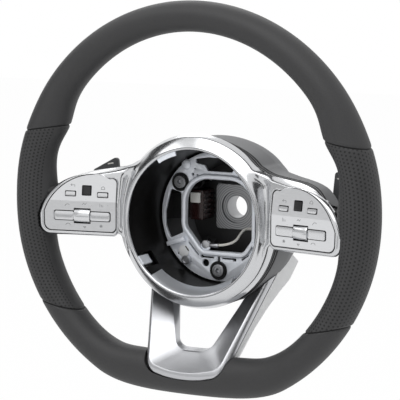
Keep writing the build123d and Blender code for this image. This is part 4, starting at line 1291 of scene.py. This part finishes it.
def even_loop(outline, count):
    """The outline with its points spread evenly along it."""
    closed = np.array([tuple(point) for point in outline] + [tuple(outline[0])])
    lengths = np.concatenate([[0], np.cumsum(np.linalg.norm(np.diff(closed, axis=0), axis=1))])
    marks = np.linspace(0, lengths[-1], count, endpoint=False)
    return [Vector((np.interp(m, lengths, closed[:, 0]), np.interp(m, lengths, closed[:, 1]))) for m in marks]


def loop_depth(x, y, loop):
    """Distance inside a loop, negative outside it."""
    inside = np.zeros(x.shape, bool)
    nearest = np.full(x.shape, np.inf)
    for (ax, ay), (bx, by) in zip(loop, np.roll(loop, -1, axis=0)):
        crosses = (ay > y) != (by > y)
        with np.errstate(divide="ignore", invalid="ignore"):
            inside ^= crosses & (x < (bx - ax) * (y - ay) / (by - ay) + ax)
        nearest = np.minimum(nearest, np.hypot(x - ax, y - ay))
    return np.where(inside, nearest, -nearest)


def trim_heights(reach, turn):
    """Height of the trim's face at distances along rays from the hub's centre."""
    x = reach * np.cos(turn)
    z = reach * np.sin(turn) + hub_up
    edge = np.zeros(reach.shape)
    for index in np.ndindex(reach.shape):
        edge[index] = outline_tree.find((x[index], 0, z[index]))[2]
    slant = np.arctan2(np.sin(turn), np.abs(np.cos(turn)))
    wing = smoothly(np.where(slant > 0, wing_above - slant, wing_below + slant) / wing_fade)
    lean = np.maximum(z - pod_origin.z - crease_up, 0) * crease_lean
    face = pod_height + (np.abs(x) - pod_across) * tan(pod_tilt) - face_play - lean
    away, before = np.maximum(reach - lip_outer, 0), np.maximum(flute_end - np.abs(x), 0)
    across = np.where(before > 0, away / (away + before + 1e-9), 1)
    dip = np.minimum(flute_depth * (away + before), flute_most) * np.sin(pi * across) ** 2
    base = lip_height + (face - lip_height) * smoothly(across) - dip * wing * smoothly(edge / flute_fade)
    base -= ring_slope * away * (1 - wing)
    width = ring_round + (wing_round - ring_round) * wing
    height = edge_back + (base - edge_back) * (1 - (1 - np.clip(edge / width, 0, 1)) ** round_power)
    seat = loop_depth((np.abs(x) - pod_origin.x) / cos(pod_tilt), z - pod_origin.z, seat_loop)
    pit = pit_fall * np.clip((seat - pit_start) / pit_run, 0, 1)
    return height - seat_dip * smoothly(seat / seat_dip) - pit


seat_loop = np.array([tuple(p) for p in even_loop(pod_outline(0), seat_points)])
outline_tree = KDTree(fine_count)
fine_turn = np.linspace(0, 2 * pi, fine_count, endpoint=False)
fine_reach = np.interp(fine_turn, np.append(rays, 2 * pi), np.append(trim_reach, trim_reach[0]))
for number, (turn, reach) in enumerate(zip(fine_turn, fine_reach)):
    outline_tree.insert((reach * cos(turn), 0, reach * sin(turn) + hub_up), number)
outline_tree.balance()
print("outline points:", fine_count)

# %% [markdown]
# The rows of points lie close together on the lip, where a fine line is pressed into it, and towards the
# outline, where the surface rounds down. In front of them the lip's wall turns into the mouth.

# %% Trim surface
lip_rows = [0.0668, 0.0676, 0.0679, 0.0681, 0.0684, 0.0688]
line_row, line_depth = 3, 0.0007
lip_end = lip_rows[-1]
flute_row, flute_share = 0.091, 0.6
inner_count, outer_count, crowding = 36, 30, 1.6
wall = [(lip_inner, 0.1062), (lip_inner, 0.1080), (lip_inner + 0.0004, 0.1086), (lip_inner + 0.0009, 0.1089)]
trim_thickness = 0.0012
inner_stride = 4


def same_on_rays(values):
    """Rows that have one value each on all the rays."""
    return np.repeat(np.array(values)[:, None], ray_count, axis=1)


def ray_mesh(name, reach, height, finish, thickness):
    """A skin over rows of points along the rays, with a coarser inner side a thickness behind it."""
    across, along = np.gradient(reach, axis=0), np.gradient(height, axis=0)
    length = np.hypot(across, along) + 1e-9
    few = np.unique([*range(0, len(reach), inner_stride), len(reach) - 1])[::-1]
    reach = np.concatenate([reach, (reach + thickness * along / length)[few]])
    height = np.concatenate([height, (height - thickness * across / length)[few]])
    points = np.stack([reach * np.cos(rays), -height, reach * np.sin(rays) + hub_up], axis=-1)
    return loop_mesh(name, points, finish)


near = np.minimum(flute_row, lip_end + (trim_reach - lip_end) * flute_share)
inner_rows = lip_end + np.linspace(0, 1, inner_count)[1:, None] * (near - lip_end)
crowded = 1 - (1 - np.linspace(0, 1, outer_count)[1:, None]) ** crowding
outer_rows = near + crowded * (trim_reach - near)
reach = np.concatenate([same_on_rays(lip_rows), inner_rows, outer_rows])
height = trim_heights(reach, np.broadcast_to(rays, reach.shape))
height[line_row] -= line_depth
reach = np.concatenate([same_on_rays([r for r, h in wall]), reach])
height = np.concatenate([same_on_rays([h for r, h in wall]), height])
trim_shell = ray_mesh("hub_trim_shell", reach, height, silver, trim_thickness)
settle(trim_shell, "wheel", "hub_trim")
print("hub trim:", len(trim_shell.data.polygons), "faces")

# %% [markdown]
# ## Tabs of the mouth
#
# Inside the mouth hang a tab and two tongues of zinc-plated sheet, and a bright skirt below, which guide
# what is put into the hub. The tongues are set where the glossy liner shows a bright reflection, and their
# brightness there is painted reflection. Each is a piece of a ring between two angles, radii and heights.


# %% Mouth tabs
tab_rounding = 0.0004


def arc_block(name, first, last, section, finish):
    """A section of four radii and heights, carried round the hub's axis between two angles."""
    steps = max(int(abs(last - first)), 4)
    points = []
    for turn in np.radians(np.linspace(first, last, steps)):
        points += [(r * cos(turn), -h, r * sin(turn) + hub_up) for r, h in section]
    faces = [(0, 1, 2, 3), tuple(4 * (steps - 1) + k for k in range(4))]
    for step in range(steps - 1):
        for k in range(4):
            n = (k + 1) % 4
            faces.append((4 * step + k, 4 * step + n, 4 * step + 4 + n, 4 * step + 4 + k))
    settle(mesh_object(name, points, faces, finish), "wheel", rounding=tab_rounding)
    print(name, "spans", last - first, "degrees")


def upright(inner, outer, low, high):
    """A section with an upright inner and outer side."""
    return [(inner, low), (outer, low), (outer, high), (inner, high)]


skirt_metal = metal("skirt_metal", paint(216, 219, 224), 0.3, 60, change=0.04, share=0.7)
skirt_cone = [(0.0600, 0.0944), (0.0655, 0.0944), (0.0664, 0.1083), (0.0659, 0.1085)]
arc_block("mouth_tab", 105, 123, upright(0.062, 0.0680, 0.106, 0.1078), zinc)
arc_block("mouth_skirt", 231, 309, skirt_cone, skirt_metal)
# The tongues' bright sheet stands where a reflection shows in the liner: painted reflection.
reflection_tongue_section = upright(0.0650, 0.0680, 0.090, 0.1063)
arc_block("left_reflection_tongue", 212, 220, reflection_tongue_section, zinc)
arc_block("right_reflection_tongue", 320, 328, reflection_tongue_section, zinc)

# %% [markdown]
# ## The rear cover
#
# Behind the trim lies a collar, where mouldings meet, and then the grained bowl that hides the column.
# Three black strips on the collar are painted shade, for the shade in the grooves between the mouldings.
# The bowl's radius at each height is a curve of its own, and the outline of the trim limits it. At the top
# and at the wings' tips the cover draws in under the trim.

# %% Rear cover
bowl_heights = np.array([0.002, 0.014, 0.034, 0.054, 0.065, 0.083])
bowl_radii = np.array([0.048, 0.063, 0.075, 0.085, 0.106, 0.160])
collar = [(0.0016, 0.0004, 0), (0.0008, 0.0008, 0), (0.0008, 0.0066, 0.4), (0.0008, 0.0120, 0.7)]
collar_depth = 0.0120
bowl_blend, bowl_inset, bowl_steps = 0.010, 0.0006, 46
back_height, back_radii = 0.0008, (0.0425, 0.036)
cover_thickness, groove_shade_thickness = 0.002, 0.0008
top_draw, top_draw_from, top_draw_run = 0.0042, 0.72, 0.28
tip_draw, tip_draw_from, tip_draw_run = 0.0035, 0.112, 0.030
groove_shades = {"front": (0.0002, 0.0028, 0), "middle": (0.0056, 0.0074, 0.4), "back": (0.0100, 0.0120, 0.7)}
groove_shade_inset = 0.0004
top_fall = top_draw * smoothly((np.sin(rays) - top_draw_from) / top_draw_run)
tip_fall = tip_draw * smoothly((np.abs(outline_x) - tip_draw_from) / tip_draw_run)
cover_reach = trim_reach - tip_fall
rows = [(cover_reach - inset - top_fall * share, edge_back - drop) for inset, drop, share in collar]
for share in np.linspace(0, 1, bowl_steps)[1:]:
    level = (edge_back - collar_depth) * (1 - share) + bowl_heights[0] * share
    bowl = np.interp(level, bowl_heights, bowl_radii)
    rows.append((-smooth_max(-cover_reach + bowl_inset + top_fall, -bowl, bowl_blend), level))
rows += [(np.full(ray_count, radius), np.full(ray_count, back_height)) for radius in back_radii]
cover_reaches, cover_heights = np.array([r for r, h in rows]), np.array([h for r, h in rows])
cover_shell = ray_mesh("rear_cover_shell", cover_reaches, cover_heights, grey_plastic, cover_thickness)
# Three black strips on the collar: painted shade in its grooves.
for name, (start, end, share) in groove_shades.items():
    groove_shade_reach = np.array([cover_reach - groove_shade_inset - top_fall * share] * 2)
    groove_shade_height = np.array([edge_back - start, edge_back - end])
    strip = ray_mesh("cover_groove_shade_" + name, groove_shade_reach, groove_shade_height, rubber, groove_shade_thickness)
    settle(strip, "wheel")
settle(cover_shell, "wheel", "rear_cover")
print("rear cover:", len(cover_shell.data.polygons), "faces")

# %% [markdown]
# ## The horn plate
#
# Behind the mouth a stamped and zinc-plated sheet floats on three bolts. A press punches its windows, slots
# and holes, so it is a disc here from which the same outlines are cut. The press also rolls a bead round
# the large opening, which is a profile carried round that opening's outline, and folds up a ridge beside
# each side window. A dome, the terminal's tongue and a small catch are set on the sheet last. The catch's
# white disc is a painted highlight, where the plate shines, and its slit is a black bar of painted shade.

# %% Horn plate
plate_low, plate_top = 0.0515, 0.0540
punch_low, punch_top = 0.048, 0.058
opening_points, bead_room, plate_rounding = 260, 0.0025, 0.0003
front_axes = [Vector((1, 0, 0)), Vector((0, 0, 1)), Vector((0, -1, 0))]
column = Vector((0, 0, 0))
bolt_places = [(40.86, 24.68), (-40.86, 24.68), (0.0, -55.5)]


def ring_outline(x, z, radius, steps=48):
    """A circle on the plate; this and the next two outlines are given in millimetres."""
    turn = np.linspace(0, 2 * pi, steps, endpoint=False)
    return [Vector((x / 1000 + radius / 1000 * cos(t), z / 1000 + radius / 1000 * sin(t))) for t in turn]


def cut_outline(points, radii):
    """A window with round corners."""
    corners = [(x / 1000, z / 1000) for x, z in points]
    return [p.to_2d() for p in round_corners(corners, [r / 1000 for r in radii], 10)]


def bar_outline(x, z, length, width, angle):
    """A straight slot or bar at an angle."""
    along = Vector((cos(radians(angle)), sin(radians(angle)))) * length / 2000
    side = Vector((-along.y, along.x)).normalized() * width / 2000
    middle = Vector((x, z)) / 1000
    return [middle + along + side, middle - along + side, middle - along - side, middle + along - side]


def grow_outline(outline, reach):
    """The outline moved outwards along its normals."""
    count = len(outline)
    moved = []
    for index, point in enumerate(outline):
        along = (outline[(index + 1) % count] - outline[index - 1]).normalized()
        moved.append(point + Vector((along.y, -along.x)) * reach)
    return moved


opening = cut_outline(
    [(-34, 29), (-34.5, -16), (-16.5, -37.5), (25.5, -37.5), (34.5, -25), (34.5, 29)], [23, 9, 7, 7, 8, 23]
)
opening = even_loop(opening, opening_points)
side_radii = [8, 2, 2, 3, 1.5, 2, 8]
side_window = [
    (-57, -4), (-51.5, 18), (-40, 15), (-39.9, -13.5), (-37.8, -22.5), (-51.5, -28.8), (-56.6, -17),
]
top_window = [
    (-25.5, 47), (-24.5, 43.2), (-15.5, 41.5), (-12.2, 36.3), (13.2, 36.3), (15.5, 40), (12, 45.5), (0, 49),
    (-12, 49.2),
]
plate_cuts = [
    grow_outline(opening, bead_room),
    cut_outline(side_window, side_radii),
    cut_outline([(-x, z) for x, z in side_window], side_radii),
    cut_outline(top_window, [1.2, 1.5, 2, 1.2, 1.2, 1.5, 2, 3, 3]),
    ring_outline(-13.7, -49.4, 3.5), ring_outline(-28, 32.5, 1.4), ring_outline(-23.3, 32.3, 0.9),
    ring_outline(-25.8, 37.8, 0.9), ring_outline(-42.3, -42.5, 1.3),
    bar_outline(0, -45.5, 7.5, 2.6, 90),
    bar_outline(-26.5, -37.2, 16, 1.6, -48), bar_outline(-11.5, -44.0, 13, 1.6, 0),
    bar_outline(10.5, -44.0, 15, 1.6, 0), bar_outline(27.5, -41.5, 9, 1.6, 38),
    bar_outline(-17.6, -43.4, 3, 3, 45), bar_outline(16.5, -44.6, 3.4, 2.6, 0),
]
plate_cuts += [ring_outline(x, z, 6.4) for x, z in bolt_places]
plate_disc = ring_outline(0, -5, 60.4, 160)
plate = prism("horn_plate_shell", plate_disc, column, front_axes, plate_low, plate_top, zinc)
for number, outline in enumerate(plate_cuts):
    carve(plate, prism(f"punch_{number}", outline, column, front_axes, punch_low, punch_top, zinc))
settle(plate, "horn", "horn_plate", plate_rounding)
print("horn plate:", len(plate.data.polygons), "faces")

# %% Bead, ridges and bosses of the plate
roll = [
    (0, 0.0512), (0, 0.0551), (0.0003, 0.0558), (0.0011, 0.0564), (0.0024, 0.0566), (0.0037, 0.0563),
    (0.0045, 0.0555), (0.0050, 0.0545), (0.0052, 0.0538), (0.0036, 0.0530), (0.0012, 0.0512),
]


def lathe(name, places, profile, finish, body, stands_for=None, closed=False, steps=40):
    """The same turned piece at several places, its axis along the column's; lengths in millimetres."""
    points, faces = [], []
    for x, z in places:
        first = len(points)
        for radius, height in profile:
            for turn in np.linspace(0, 2 * pi, steps, endpoint=False):
                across, up = x + radius * cos(turn), z + radius * sin(turn)
                points.append((across / 1000, -height / 1000, up / 1000))
        rows = len(profile)
        for i in range(rows if closed else rows - 1):
            k = (i + 1) % rows
            for j in range(steps):
                n = (j + 1) % steps
                quad = (i * steps + j, i * steps + n, k * steps + n, k * steps + j)
                faces.append([first + corner for corner in quad])
        if not closed:
            faces.append([first + j for j in range(steps)])
            faces.append([first + (rows - 1) * steps + j for j in range(steps)])
    settle(mesh_object(name, points, faces, finish), body, stands_for)
    print(name, len(faces), "faces")


loops = [[Vector((p.x, -height, p.y)) for p in grow_outline(opening, reach)] for reach, height in roll]
settle(loop_mesh("horn_plate_bead", loops, zinc), "horn")
ridge_depths, slit_shade_depths = (0.0538, 0.0578), (0.0545, 0.0550)
ridge_round, fold_round = 0.0011, 0.0002
# The catch's slit is a black bar of painted shade.
folds = {
    "left_ridge": (bar_outline(-44.3, -31.2, 20, 4.6, 18.9), *ridge_depths, zinc, "zinc", ridge_round),
    "right_ridge": (bar_outline(44.3, -31.2, 20, 4.6, -18.9), *ridge_depths, zinc, "zinc", ridge_round),
    "terminal_tongue": (ring_outline(-14, -33.4, 4.8), plate_low, plate_top, zinc, "zinc", fold_round),
    "catch_slit_shade": (bar_outline(-33.2, -37.4, 5.5, 1.1, -52), *slit_shade_depths, rubber, "rubber", fold_round),
}
for name, (outline, low, high, finish, slot, rounding) in folds.items():
    settle(prism(name, outline, column, front_axes, low, high, finish), "horn", rounding=rounding)
dome_profile = [(5.2, 53.8), (4.9, 54.6), (4.0, 55.4), (2.4, 55.9), (0.6, 56.0)]
highlight_disc_profile = [(5.6, 53.8), (5.5, 54.4), (5.0, 54.7), (0.5, 54.7)]
post_profile = [(4.1, 53.8), (4.1, 59.4), (3.6, 60.0), (2.6, 60.0), (2.4, 58.6)]
lathe("plate_dome", [(-34.9, 41.4)], dome_profile, zinc, "horn")
# A white disc where the plate shines: painted highlight.
lathe("catch_highlight_disc", [(-36.8, -40.0)], highlight_disc_profile, light_plastic, "horn")
lathe("catch_post", [(-32.6, -47.6)], post_profile, steel, "horn")

# %% [markdown]
# ## Bolts and their rubber cups
#
# The plate hangs on three shoulder bolts. A rubber cup keeps metal from metal, and the bolt's flat head
# lies in it. All of these are turned or moulded round an axis, so each is a profile on a lathe.

# %% Bolts
bolt_profile = [
    (4.0, 16.5), (4.0, 54.6), (6.0, 54.6), (6.0, 55.8), (5.6, 56.2), (4.7, 56.2), (4.4, 55.8), (3.5, 55.8),
    (3.2, 56.3), (2.3, 56.3), (2.0, 55.8), (1.9, 53.4),
]
cup_profile = [
    (4.2, 51.4), (6.35, 51.4), (6.35, 53.9), (8.7, 53.9), (8.7, 55.1), (8.2, 55.7), (6.7, 55.7), (6.2, 55.3),
    (6.2, 54.5), (4.2, 54.5),
]
lathe("plate_bolts", bolt_places, bolt_profile, steel, "wheel", "horn_bolts")
lathe("plate_cups", bolt_places, cup_profile, rubber, "horn", "horn_bushes", closed=True)

# %% [markdown]
# ## The lead
#
# A short insulated lead joins the plate's terminal to a socket in the hub. It is one smooth spline along
# its route: straight out of the crimp, round towards the column and down into the socket.

# %% Lead
lead_route = [(-8, -56.1, -32), (16, -56.1, -32), (18.5, -40, -16), (29, -35, -17.5), (29, -21, -17.5)]
lead_curve = bpy.data.curves.new("horn_lead_wire", "CURVE")
lead_curve.dimensions = "3D"
lead_curve.bevel_depth = 0.0012
lead_curve.bevel_resolution = 5
lead_curve.resolution_u = 24
lead_line = lead_curve.splines.new("NURBS")
lead_line.points.add(len(lead_route) - 1)
for point, place in zip(lead_line.points, lead_route):
    point.co = (*[length / 1000 for length in place], 1)
lead_line.order_u = 3
lead_line.use_endpoint_u = True
lead_curve.materials.append(insulation.material)
lead = bpy.data.objects.new("horn_lead_wire", lead_curve)
scene.collection.objects.link(lead)
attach(lead, "horn")
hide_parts("horn_lead")
print("lead:", len(lead_route), "points")
